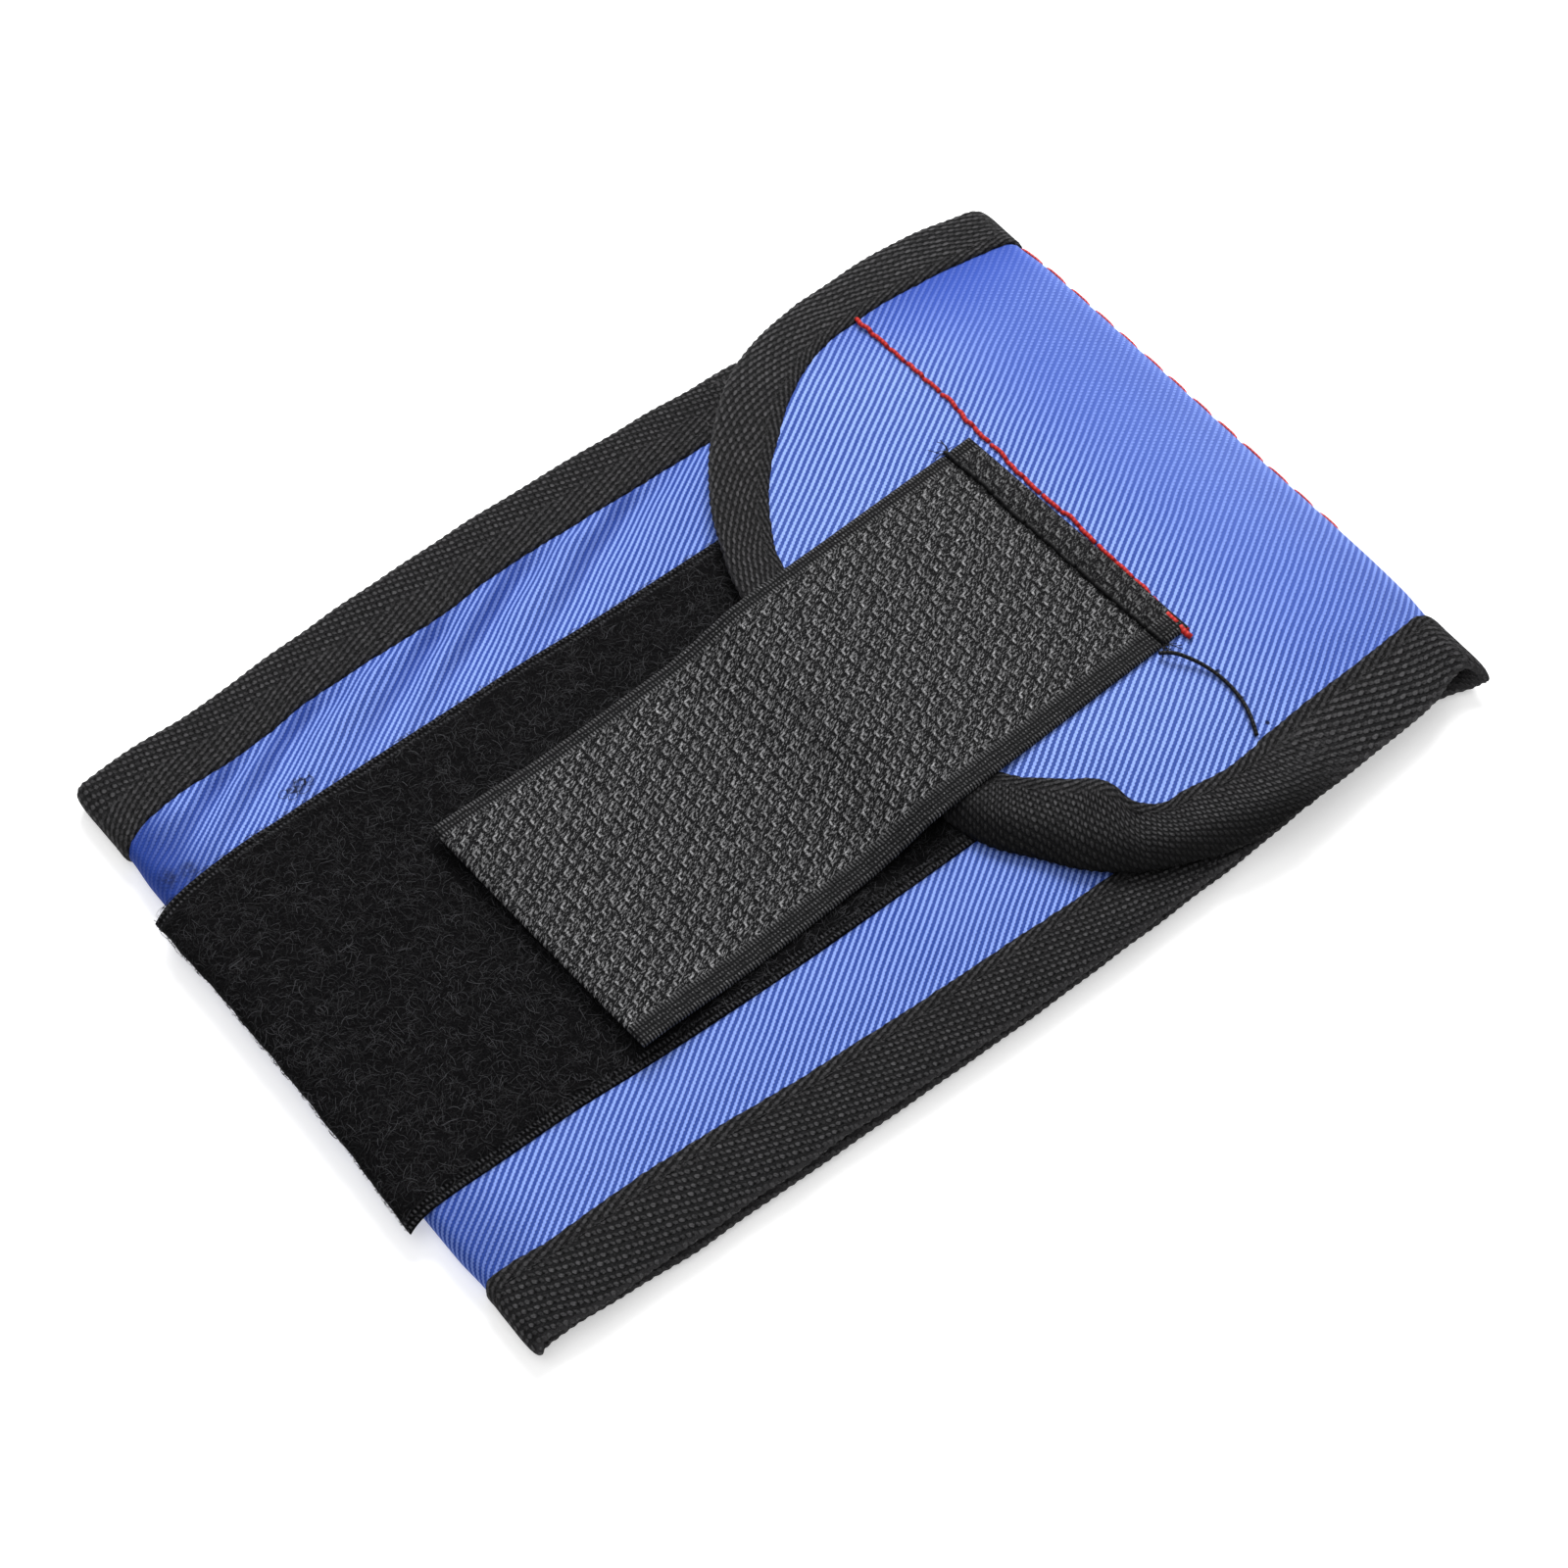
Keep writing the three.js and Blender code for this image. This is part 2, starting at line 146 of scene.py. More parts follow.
FAR_TAPE_WIDTHS = {
    "right": ((0.5, 7.6),),
    "base": ((60.0, 8.6), (0.0, 9.4), (-60.0, 9.6)),
    "left": ((0.6, 11.4),),
    "loop": (
        (-64.0, 10.0), (-57.0, 9.2), (-46.0, 9.1), (-40.0, 8.7), (-34.0, 9.0), (-27.3, 9.4),
        (-21.0, 9.8), (-12.7, 9.1), (-4.0, 9.0), (2.2, 9.1), (19.3, 8.8),
    ),
}
STRIP_NEAR_EDGE = (
    (-72.0, -25.6), (-64.0, -25.2), (-58.0, -25.3), (-46.0, -25.5), (-40.0, -25.9), (-28.0, -26.4),
    (-16.0, -26.7), (-4.0, -26.7), (22.0, -26.5),
)
STRIP_FAR_EDGE = (
    (-72.0, 24.9), (-68.0, 25.5), (-64.0, 26.3), (-58.0, 26.9), (-46.0, 27.0), (-29.0, 26.9),
    (-16.0, 26.8), (-8.5, 26.5), (10.6, 26.3), (22.0, 26.2),
)

# Creases of the cover beyond the loop strip: their slant, and their height at places across them

FAR_FOLD_ANGLE = math.radians(27.0)
FAR_FOLDS = (
    (66.0, 0.4), (60.0, 0.7), (55.8, -1.0), (53.7, 0.4), (51.5, -1.0), (47.3, 1.0), (42.7, -1.0),
    (40.3, 0.6), (37.8, -1.0), (34.3, 1.0), (30.2, -1.0), (26.0, 0.6), (15.0, 0.0),
)
CREASE_VALLEY = -0.5
CREASE_SHADE_SHIFT = 1.1

# Sewing: the gathered corner of the tongue's tape, needle holes, red seams, loose thread, lint and stains

PUCKER_PEAK = (22.6, -32.2)
PUCKER_REACH = (2.6, 2.9)
PUCKER_CREASE = ((24.6, -35.4), (22.2, -41.0))
PUCKER_CREASE_REACH = 0.9
PUCKER_CREASE_DEPTH = 0.32
NEEDLE_HOLES = ((44.9, -27.9), (44.6, -32.3), (44.9, -36.6))
RED_SEAMS_UNDER = (45.9, 20.9, -4.1, -29.1)
FOLD_STITCH = 4.6
FOLD_STITCH_RISE = 0.04
FOLD_SEAM_START = 38.3
LOOSE_THREAD = (
    (40.9, -21.9, 0.5), (41.9, -23.0, 0.9), (43.2, -25.0, 0.7), (44.2, -27.6, 0.35), (44.5, -30.4, 0.25),
    (44.1, -33.4, 0.25), (43.3, -35.6, 0.25), (42.6, -37.2, -0.2),
)
LINT_PLACE = (-47.4, 29.2)
SMUDGES = ((-66.0, 28.4, 2.4), (-63.6, 27.9, 2.0), (-47.4, 29.2, 1.7))

# Colours

STUDIO_LEVEL = 1.45


def paint(red, green, blue, level=STUDIO_LEVEL):
    """A colour as it shows under the studio's light, 0 to 255, as the cloth's own linear colour."""
    shades = (red / 255.0, green / 255.0, blue / 255.0)
    linear = [s / 12.92 if s <= 0.04045 else ((s + 0.055) / 1.055) ** 2.4 for s in shades]
    return (*(value / level for value in linear), 1.0)


# Painted shade of the twill where the tongue slopes to the right fold and along its far side; also a slight
# even deepening of the loop panel
TWILL_PAINTED_SHADE = paint(54, 90, 210)
# Painted highlight for the crest of the right fold
TWILL_CREST_HIGHLIGHT = paint(176, 190, 236)
SELVAGE_YARN = paint(92, 92, 95)
SMUDGE_BLACK = (0.006, 0.008, 0.02, 1.0)
NEEDLE_BLACK = (0.004, 0.006, 0.02, 1.0)
# Near black of the painted shadows on the tape
PAINTED_SHADOW_BLACK = (0.003, 0.003, 0.0032, 1.0)
EYELET_BLACK = (0.002, 0.002, 0.0025, 1.0)
HOOK_DARK = (0.006, 0.006, 0.007, 1.0)
HOOK_LIGHT = (0.02, 0.02, 0.022, 1.0)
FLOOR_MOTTLE = (0.85, 0.85, 0.85, 1.0)
FLOOR_GLOW = 0.4
WHITE = (1.0, 1.0, 1.0, 1.0)

# Sizes and colours that a user may change


def length_property(name, description, default):
    """A length that a user may change, in metres."""
    return bpy.props.FloatProperty(name=name, description=description, default=default, unit="LENGTH")


def colour_property(name, description, default):
    """A colour that a user may change."""
    return bpy.props.FloatVectorProperty(
        name=name,
        description=description,
        default=default,
        subtype="COLOR",
        size=4,
        min=0.0,
        max=1.0,
    )


class WristbandSizes(bpy.types.PropertyGroup):
    """Sizes that a user would change."""

    fold_height: length_property(
        "Right fold height", "Height of the pressed fold where the tongue turns over", 0.0062
    )
    tongue_slope: length_property(
        "Tongue slope", "Length over which the tongue rises from the right fold to its full height", 0.038
    )
    right_bulge: length_property(
        "Right fold bulge", "How far the right fold's round reaches out from the flat cloth", 0.0030
    )
    left_bulge: length_property(
        "Left fold bulge", "How far the left fold's round reaches out from the flat cloth", 0.0017
    )
    tongue_lift: length_property(
        "Tongue lift", "How far the soft tongue stands above its packed solid", 0.0004
    )
    edge_droop: length_property(
        "Far edge droop", "How far the tongue's far edge hangs below its middle", 0.0006
    )
    near_droop: length_property(
        "Near edge droop", "How far the tongue's near edge hangs below its middle", 0.0016
    )
    crease_depth: length_property(
        "Crease depth", "Depth of the soft creases beside the loop strip", 0.0009
    )
    rib_pitch: length_property(
        "Twill rib pitch", "Distance between the diagonal ribs of the cover", 0.00081
    )
    rib_angle: bpy.props.FloatProperty(
        name="Twill rib angle",
        description="Angle of the ribs to the band's length",
        default=math.radians(31.4),
        unit="ROTATION",
    )
    stitch_length: length_property(
        "Stitch length", "Length of a stitch in the binding and the strap", 0.0030
    )
    red_stitch_length: length_property("Red stitch length", "Length of a stitch in the red seams", 0.0033)
    thread_radius: length_property("Thread radius", "Half the thickness of the red sewing thread", 0.0003)
    pile_count: bpy.props.IntProperty(
        name="Pile fibres",
        description="Number of loose fibres on the loop strip",
        default=24000,
        min=0,
    )
    pile_height: length_property(
        "Pile height", "Height of the loop strip's fibres above its ground cloth", 0.00035
    )
    hook_pitch: length_property("Hook pitch", "Distance between the hooks under the strap", 0.0017)
    seed: bpy.props.IntProperty(
        name="Seed",
        description="Start of the random draws for fibres and stitches",
        default=11,
        min=0,
    )


class WristbandColours(bpy.types.PropertyGroup):
    """Colours that a user would change."""

    # Rib and groove are one blue: the ribs carry a painted highlight and the grooves a painted shade
    twill_rib_highlight: colour_property("Twill rib", "Raised ribs of the cover", paint(170, 201, 290))
    twill_groove_shade: colour_property(
        "Twill groove", "Grooves between the ribs of the cover", paint(58, 88, 178)
    )
    twill_shade: colour_property(
        "Twill in shade", "Blue of the twill where it turns away from the light", paint(36, 66, 158)
    )
    tape: colour_property("Binding tape", "Ground of the black binding tape", paint(26, 26, 27))
    # The floats' grey is the tape's black yarn with a painted highlight
    tape_float_highlight: colour_property(
        "Binding float", "Yarns that lie on top of the binding tape", paint(92, 91, 93)
    )
    pile: colour_property("Loop pile", "Fibres of the loop strip", paint(37, 37, 39))
    hook_ground: colour_property("Hook tape", "Ground weave of the hook strap", paint(13, 13, 15))
    # The scoops' near white is a painted glint on the strap's black yarn
    hook_yarn_glint: colour_property(
        "Hook tape yarn", "Bright yarn scoops on the back of the hook strap", paint(212, 212, 214)
    )
    lining: colour_property("Mesh lining", "Knitted lining inside the band", paint(38, 39, 43))
    red_thread: colour_property("Red thread", "Thread of the red seams", paint(236, 54, 46))
    black_thread: colour_property(
        "Black thread", "Thread of the binding and strap seams", paint(22, 22, 24)
    )
    nickel: colour_property("Nickel", "Plating of the magnets", paint(196, 194, 188))
    floor: colour_property("Floor", "Studio floor", paint(247, 247, 247, 1.0))


# Numbers and curves


def ease(low, high, value):
    """Rises smoothly from 0 at low to 1 at high."""
    t = np.clip((np.asarray(value, float) - low) / (high - low), 0.0, 1.0)
    return t * t * (3.0 - 2.0 * t)


def alike(*values):
    """Arrays of numbers, all of one shape."""
    return np.broadcast_arrays(*(np.asarray(value, float) for value in values))


def joined(*coordinates):
    """Points from their coordinates."""
    return np.stack(np.broadcast_arrays(*coordinates), axis=-1)


def unit(vectors):
    """Vectors made one long."""
    return vectors / np.linalg.norm(vectors, axis=1)[:, None]


def read_along(at, along, line):
    """Points of a line at given lengths along it."""
    return joined(*(np.interp(at, along, line[:, axis]) for axis in range(3)))


def smooth_through(knots, values, at):
    """A smooth curve through values at rising knots, read at other places; it is held level outside them."""
    knots = np.asarray(knots, float)
    values = np.asarray(values, float)
    slopes = np.gradient(values, knots, axis=0)
    at = np.clip(np.asarray(at, float), knots[0], knots[-1])
    cell = np.clip(np.searchsorted(knots, at, side="right") - 1, 0, len(knots) - 2)
    width = knots[cell + 1] - knots[cell]
    t = (at - knots[cell]) / width
    if values.ndim > 1:
        t, width = t[..., None], width[..., None]
    start = (2 * t**3 - 3 * t**2 + 1) * values[cell] + (t**3 - 2 * t**2 + t) * width * slopes[cell]
    end = (3 * t**2 - 2 * t**3) * values[cell + 1] + (t**3 - t**2) * width * slopes[cell + 1]
    return start + end


def lengths_along(points):
    """The distance along a line of points, from its first."""
    steps = np.linalg.norm(np.diff(points, axis=0), axis=1)
    return np.concatenate([[0.0], np.cumsum(steps)])


def even_line(points, step):
    """A smooth line through points with its own points a step apart."""
    points = np.asarray(points, float)
    along = lengths_along(points)
    count = max(2, int(round(along[-1] / step)) + 1)
    return smooth_through(along, points, np.linspace(0.0, along[-1], count))


def line_field(x, y, start, end, reach):
    """1 on the line from start to end, falling softly to 0 about two reaches away."""
    start, end = np.asarray(start, float), np.asarray(end, float)
    run = end - start
    t = ((x - start[0]) * run[0] + (y - start[1]) * run[1]) / (run @ run)
    t = np.clip(t, 0.0, 1.0)
    away = np.hypot(x - start[0] - t * run[0], y - start[1] - t * run[1])
    return np.exp(-((away / reach) ** 2))


def slow_noise(seed, x, y, size):
    """A gentle uneven field from a few crossing waves, between about -1 and 1."""
    draw = np.random.default_rng(seed)
    total = np.zeros(np.broadcast(x, y).shape)
    waves = 6
    for _ in range(waves):
        turn = draw.uniform(0.0, 2.0 * math.pi)
        pitch = size * draw.uniform(0.6, 1.6)
        phase = draw.uniform(0.0, 2.0 * math.pi)
        total += np.sin((x * math.cos(turn) + y * math.sin(turn)) * 2.0 * math.pi / pitch + phase)
    return total / math.sqrt(waves * 2.0)


def waver(seed, along, amount, size):
    """An uneven line: how far it strays to either side, in waves of about a size."""
    return amount * slow_noise(seed, along, 0.0 * along, size)


# The band as one strip of cloth

RUNS = ("tongue", "right", "base", "left", "loop")
FOLDS = ("right_fold", "left_fold")
BORDER_TURN = 25.0
FOLD_CRUSH = 0.1
CRUSH_SPAN = (-3.0, 1.0)
LEFT_INSET = 0.5
BAND_HALF = 46.0
FAR_HANG_Y = (26.0, 47.5)
FAR_HANG_X = (20.0, 42.0)
NEAR_HANG_Y = (24.0, 47.5)
NEAR_HANG_X = (22.0, 56.0)
LOOP_HANG = 0.4
LOOP_HANG_Y = (30.0, 47.5)
TIP_STEP = 0.3
PATH_STEP = 0.5
BEND_PROBE = 0.05
BEND_STOP = 0.02
BEND_RUN = 3.2
TONGUE_WEAVE = np.array([0.98, 0.98])
LOOP_WEAVE = np.array([1.127, 1.055])


def half_ellipse(reach, half):
    """Length round half an ellipse."""
    h = ((reach - half) / (reach + half)) ** 2
    return math.pi * (reach + half) * (1 + 3 * h / (10 + math.sqrt(4 - 3 * h))) / 2


def nearest_on(path, x, y):
    """The number of the point, on a path of lengths and y, that is nearest to a place on the tongue."""
    return int(np.argmin(np.hypot(path[:, 0] + TONGUE_TIP - x, path[:, 1] - y)))


class Band:
    """The band's outer face as one strip, from the tongue's tip round both folds to the loop panel's end.

    A place on it is a length along the strip from the tip, a y across it, and a depth under the face, in mm.
    """

    def __init__(self, sizes):
        self.fold_height = sizes.fold_height / MM
        self.slope = sizes.tongue_slope / MM
        self.lift = sizes.tongue_lift / MM
        self.droop = sizes.edge_droop / MM
        self.near_droop = sizes.near_droop / MM
        self.crease = sizes.crease_depth / MM
        self.right_reach = sizes.right_bulge / MM
        self.left_reach = sizes.left_bulge / MM
        self.right_turn = RIGHT_EDGE - self.right_reach
        self.left_turn = LEFT_EDGE + LEFT_INSET + self.left_reach
        self.run_lengths = (
            self.right_turn - TONGUE_TIP,
            half_ellipse(self.right_reach, self.fold_height / 2),
            self.right_turn - self.left_turn,
            half_ellipse(self.left_reach, LOOP_TOP / 2),
            LOOP_END - self.left_turn,
        )
        self.starts = np.concatenate([[0.0], np.cumsum(self.run_lengths)])
        share = BORDER_TURN / 180.0
        right, left = self.run_lengths[1] * share, self.run_lengths[3] * share
        middle = (self.starts[2] + self.starts[3]) / 2
        self.parts = {
            "tongue": (0.0, self.starts[1] + right),
            "right_fold": (self.starts[1] + right, self.starts[2] - right),
            "base_right": (self.starts[2] - right, middle),
            "base_left": (middle, self.starts[3] + left),
            "left_fold": (self.starts[3] + left, self.starts[4] - left),
            "loop_panel": (self.starts[4] - left, self.starts[5]),
        }
        self.near_edge = self.keyed(NEAR_EDGE)
        self.far_edge = self.keyed(FAR_EDGE)
        self.near_width = self.keyed(NEAR_TAPE_WIDTHS)
        self.far_width = self.keyed(FAR_TAPE_WIDTHS)
        self.tongue_line = even_line(TONGUE_END, TIP_STEP)

    def length_at(self, run, x):
        """The length along the strip at an x of a flat run, or at a share of a fold."""
        start = self.starts[RUNS.index(run)]
        if run == "tongue":
            return x - TONGUE_TIP
        if run == "base":
            return start + self.right_turn - x
        if run == "loop":
            return start + x - self.left_turn
        return start + x * self.run_lengths[RUNS.index(run)]

    def keyed(self, keys):
        """Values written by run and x, as (lengths, values)."""
        rows = [(self.length_at(run, x), value) for run, pairs in keys.items() for x, value in pairs]
        return np.array(rows).T

    def tongue_height(self, x, y):
        """Height of the tongue's face."""
        rise = ease(0.0, self.slope, self.right_turn - x)
        far_hang = self.droop * ease(*FAR_HANG_Y, y) * ease(*FAR_HANG_X, x)
        near_hang = self.near_droop * ease(*NEAR_HANG_Y, -y) * ease(*NEAR_HANG_X, x)
        top = TONGUE_TOP + self.lift
        return self.fold_height + (top - self.fold_height) * rise - far_hang - near_hang

    def loop_height(self, y):
        """Height of the loop panel's face."""
        return LOOP_TOP - LOOP_HANG * self.droop * ease(*LOOP_HANG_Y, np.abs(y))

    def place(self, length, across, depth=0.0):
        """Points of the strip in the frame, in mm."""
        length, across, depth = alike(length, across, depth)
        run = np.clip(np.searchsorted(self.starts, length, side="right") - 1, 0, len(RUNS) - 1)
        into = length - self.starts[run]
        turn = math.pi * into / np.array(self.run_lengths)[run]
        sine, cosine = np.sin(turn), np.cos(turn)
        tongue_x = TONGUE_TIP + into
        tongue_z = self.tongue_height(tongue_x, across) - depth
        half = self.tongue_height(self.right_turn, across) / 2
        size = np.hypot(sine / self.right_reach, cosine / half)
        right_x = self.right_turn + self.right_reach * sine - depth * sine / self.right_reach / size
        right_z = half * (1 + cosine) - depth * cosine / half / size
        half = self.loop_height(across) / 2
        size = np.hypot(sine / self.left_reach, cosine / half)
        left_x = self.left_turn - self.left_reach * sine + depth * sine / self.left_reach / size
        left_z = half * (1 - cosine) + depth * cosine / half / size
        base_x = self.right_turn - into
        loop_x = self.left_turn + into
        x = np.choose(run, (tongue_x, right_x, base_x, left_x, loop_x))
        z = np.choose(run, (tongue_z, right_z, depth, left_z, self.loop_height(across) - depth))
        return joined(x, across, z)

    def weave(self, length, across):
        """Cloth coordinates of the cover: the cloth is drawn a little tighter on the loop panel."""
        base = self.starts[3] - self.starts[2]
        into = np.clip(length - self.starts[2], 0.0, base)
        gain = LOOP_WEAVE - TONGUE_WEAVE
        scale = TONGUE_WEAVE[1] + gain[1] * into / base
        past = np.maximum(0.0, length - self.starts[3])
        along = TONGUE_WEAVE[0] * length + gain[0] * (into**2 / (2.0 * base) + past)
        return joined(along, across * scale)

    def crush(self, length):
        """How much of its depth a layer keeps: all on the flat runs, less in the pressed folds."""
        right = ease(*CRUSH_SPAN, length - self.starts[1]) * ease(*CRUSH_SPAN, self.starts[2] - length)
        left = ease(*CRUSH_SPAN, length - self.starts[3]) * ease(*CRUSH_SPAN, self.starts[4] - length)
        return 1.0 - FOLD_CRUSH * np.maximum(right, left)

    def edges(self, length, inset):
        """Near and far y of the cloth at a length, a little inside the bound edge."""
        near = smooth_through(*self.near_edge, length) + inset
        far = smooth_through(*self.far_edge, length) - inset
        line = self.tongue_line
        along = unit(np.gradient(line, axis=0))
        inner = line + inset * joined(along[:, 1], -along[:, 0])
        tip = int(np.argmin(inner[:, 0]))
        x = TONGUE_TIP + length
        round_near = np.interp(x, inner[: tip + 1, 0][::-1], inner[: tip + 1, 1][::-1])
        round_far = np.interp(x, inner[tip:, 0], inner[tip:, 1])
        on_end = x < TONGUE_END[0][0]
        return np.where(on_end, round_near, near), np.where(on_end, round_far, far)

    def tongue_path(self, step):
        """The tongue's edge from the right fold's near end round the tip to its far end: lengths and y."""
        split = self.length_at("tongue", TONGUE_END[0][0])
        straight = np.arange(self.parts["tongue"][1], split, -step)
        near = joined(straight, smooth_through(*self.near_edge, straight))
        tip = self.tongue_line - np.array([TONGUE_TIP, 0.0])
        far = joined(straight[::-1], smooth_through(*self.far_edge, straight[::-1]))
        return even_line(np.concatenate([near, tip[1:-1], far]), step)

    def tape_line(self, part, side, step):
        """The edge that a tape covers, as lengths and y, with the tape's width and place along it."""
        round_line = self.tongue_path(step)
        round_along = lengths_along(round_line)
        border = self.parts["tongue"][1]
        if part == "tongue":
            keys = [nearest_on(round_line, x, y) for (x, y), _ in TONGUE_TAPE_WIDTHS]
            width = smooth_through(round_along[keys], [w for _, w in TONGUE_TAPE_WIDTHS], round_along)
            return round_line, width, round_along
        start, end = self.parts[part]
        count = max(3, int((end - start) / step) + 1)
        length = np.linspace(start, end, count)
        if side == "near":
            length = length[::-1]
            edge, width, along = self.near_edge, self.near_width, border - length
        else:
            edge, width, along = self.far_edge, self.far_width, round_along[-1] + length - border
        line = joined(length, smooth_through(*edge, length))
        return line, smooth_through(*width, length), along

    def joint(self, part):
        """The two bodies that a part bends between, and where the bend starts and ends, in metres."""
        start, end = self.parts[part]
        if part in FOLDS:
            rising = (start, end) if part == "left_fold" else (end, start)
            depths = (0.0, LINING_DEPTH * (1 - FOLD_CRUSH))
            across, depth = np.meshgrid((-BAND_HALF, 0.0, BAND_HALF), depths)
            low = self.place(rising[0], across, depth)[..., 2].max()
            high = self.place(rising[1], across, depth)[..., 2].min()
            bodies = (f"{part}_lower", f"{part}_upper")
            return bodies, Vector((0, 0, low * MM)), Vector((0, 0, high * MM))
        border, bodies = {
            "tongue": (end, ("tongue", "right_fold_upper")),
            "base_right": (start, ("base", "right_fold_lower")),
            "base_left": (end, ("base", "left_fold_lower")),
            "loop_panel": (start, ("loop_panel", "left_fold_upper")),
        }[part]
        toward = 1.0 if border == end else -1.0
        tip = self.place(border, 0.0)
        back = self.place(border - toward * BEND_PROBE, 0.0)
        run = (tip - back) / np.linalg.norm(tip - back)
        stop = tip - run * BEND_STOP
        begin = tip - run * BEND_RUN
        return bodies, Vector(begin * MM), Vector(stop * MM)


# Meshes

WEAVE = "weave"
UP = (0.0, 0.0, 1.0)
STITCH_POINTS = 8
STITCH_GAP = 0.04
STITCH_FILL = (0.86, 0.96)
STITCH_REST = 0.75
STITCH_DIP = 6
THREAD_SIDES = 6
THREAD_SWELL = (0.92, 1.08)
THREAD_TWIST = 0.55
LOOSE_TWIST = 0.5
FINE_SIDES = 4


def grid_faces(rows, columns, wrap=False):
    """Quads of a grid of points whose rows run along the cloth and whose columns run across it."""
    across = columns if wrap else columns - 1
    row, column = np.meshgrid(np.arange(rows - 1), np.arange(across), indexing="ij")
    first = row * columns + column
    beside = row * columns + (column + 1) % columns
    return joined(first, first + columns, beside + columns, beside).reshape(-1, 4)


def add_piece(name, points, faces, cloth, finish, slot):
    """A smooth mesh piece from points in mm, with its place on the cloth in mm as its UV map."""
    mesh = bpy.data.meshes.new(name)
    places = np.asarray(points, float).reshape(-1, 3) * MM
    mesh.from_pydata(places.tolist(), [], [list(map(int, face)) for face in faces])
    corner = np.empty(len(mesh.loops), np.int32)
    mesh.loops.foreach_get("vertex_index", corner)
    layer = mesh.uv_layers.new(name=WEAVE)
    layer.data.foreach_set("uv", np.asarray(cloth, np.float32).reshape(-1, 2)[corner].ravel())
    mesh.polygons.foreach_set("use_smooth", np.ones(len(mesh.polygons), bool))
    mesh.materials.append(finish)
    mesh.update()
    piece = bpy.data.objects.new(name, mesh)
    bpy.context.scene.collection.objects.link(piece)
    return piece


def closed_faces(rows, around):
    """Faces of rings that follow one another, with both ends closed."""
    faces = grid_faces(rows, around, wrap=True)[:, ::-1].tolist()
    faces.append(list(range(around))[::-1])
    faces.append([(rows - 1) * around + n for n in range(around)])
    return faces


def slab(upper, lower, cloth, flipped=False):
    """A closed strip between two grids of points: its points, faces and cloth coordinates."""
    rows, columns = upper.shape[:2]
    points = np.concatenate([upper, lower[:, ::-1]], axis=1)
    cloth = np.concatenate([cloth, cloth[:, ::-1]], axis=1)
    faces = grid_faces(rows, 2 * columns, wrap=True).tolist()
    last = (rows - 1) * 2 * columns
    for near in range(columns - 1):
        far = 2 * columns - 1 - near
        faces.append([near, near + 1, far - 1, far])
        faces.append([last + far, last + far - 1, last + near + 1, last + near])
    if flipped:
        faces = [face[::-1] for face in faces]
    return points, faces, cloth


def tube(points, radius, sides, twist_pitch=1.0):
    """A closed tube along points: its points, faces and thread coordinates."""
    points = np.asarray(points, float)
    count = len(points)
    radius = np.broadcast_to(np.asarray(radius, float), (count,))
    along = np.gradient(points, axis=0)
    along /= np.linalg.norm(along, axis=1)[:, None] + 1e-12
    side = np.cross(along, UP)
    flat = np.linalg.norm(side, axis=1) < 1e-3
    side[flat] = np.array([0.0, 1.0, 0.0])
    side = unit(side)
    rise = np.cross(side, along)
    turn = np.arange(sides) * 2.0 * math.pi / sides
    ring = side[:, None, :] * np.cos(turn)[:, None] + rise[:, None, :] * np.sin(turn)[:, None]
    ring = ring * radius[:, None, None]
    shell = (points[:, None, :] + ring).reshape(-1, 3)
    length = np.repeat(lengths_along(points) / twist_pitch, sides)
    cloth = joined(length, np.tile(np.arange(sides) / sides, count))
    return shell, closed_faces(count, sides), cloth


def merged(shapes):
    """Several (points, faces, cloth) as one."""
    points, faces, cloth, base = [], [], [], 0
    for shape_points, shape_faces, shape_cloth in shapes:
        points.append(np.asarray(shape_points, float).reshape(-1, 3))
        cloth.append(np.asarray(shape_cloth, float).reshape(-1, 2))
        faces.extend([[int(n) + base for n in face] for face in shape_faces])
        base += len(points[-1])
    return np.concatenate(points), faces, np.concatenate(cloth)


def stitches(line, ups, length, radius, draw, sink, slack, rise=0.0):
    """A row of stitches along a line: each dips into the cloth at its ends and may arch between."""
    along = lengths_along(line)
    count = max(1, int(round(along[-1] / length)))
    each = along[-1] / count
    shapes = []
    profile = np.linspace(0.0, 1.0, STITCH_POINTS)
    for number in range(count):
        start = number * each + each * STITCH_GAP
        reach = each * draw.uniform(*STITCH_FILL)
        at = start + profile * reach
        points = read_along(at, along, line)
        up = unit(read_along(at, along, ups))
        lift = radius * STITCH_REST - sink * (2.0 * profile - 1.0) ** STITCH_DIP
        lift = lift + rise * np.sin(profile * math.pi)
        run = points[-1] - points[0]
        beside = np.cross(up[0], run / (np.linalg.norm(run) + 1e-9))
        sway = draw.uniform(-slack, slack) * np.sin(profile * math.pi)
        skew = draw.uniform(-0.5, 0.5) * slack * (profile - 0.5)
        points = points + up * lift[:, None] + beside[None, :] * (sway + skew)[:, None]
        shapes.append(tube(points, radius * draw.uniform(*THREAD_SWELL), THREAD_SIDES, THREAD_TWIST))
    return merged(shapes)


# What the shaders draw, in mm; a weave of the tape has a cell's two steps, a yarn's half sizes and a tilt

LOOP_TAPE = (((0.91, 0.62), (-0.45, 1.03)), (0.37, 0.27), -40.0)
TONGUE_TAPE = (((1.2, 0.5), (-0.3, 1.06)), (0.54, 0.29), -8.0)
CORNER_TAPE = (((0.8, 0.5), (-0.55, 0.88)), (0.42, 0.22), -42.0)
INNER_TAPE = (((1.12, -0.38), (0.05, 0.78)), (0.4, 0.25), 10.0)
# Where along the tongue's tape its near corner takes a painted shade
DARK_CORNER = ((54.0, -46.9), (38.0, -47.6), (9.5, -28.4), (6.6, -10.0))
BEAD_PITCH = 0.5
NEEDLE_DENT = (0.08, 0.38)
STRIP_RIB = 0.54
STRIP_BAR = 0.85
STRIP_SELVAGE_FADE = (23.5, 24.0)
EYELET_STEP = (1.3, 1.1)
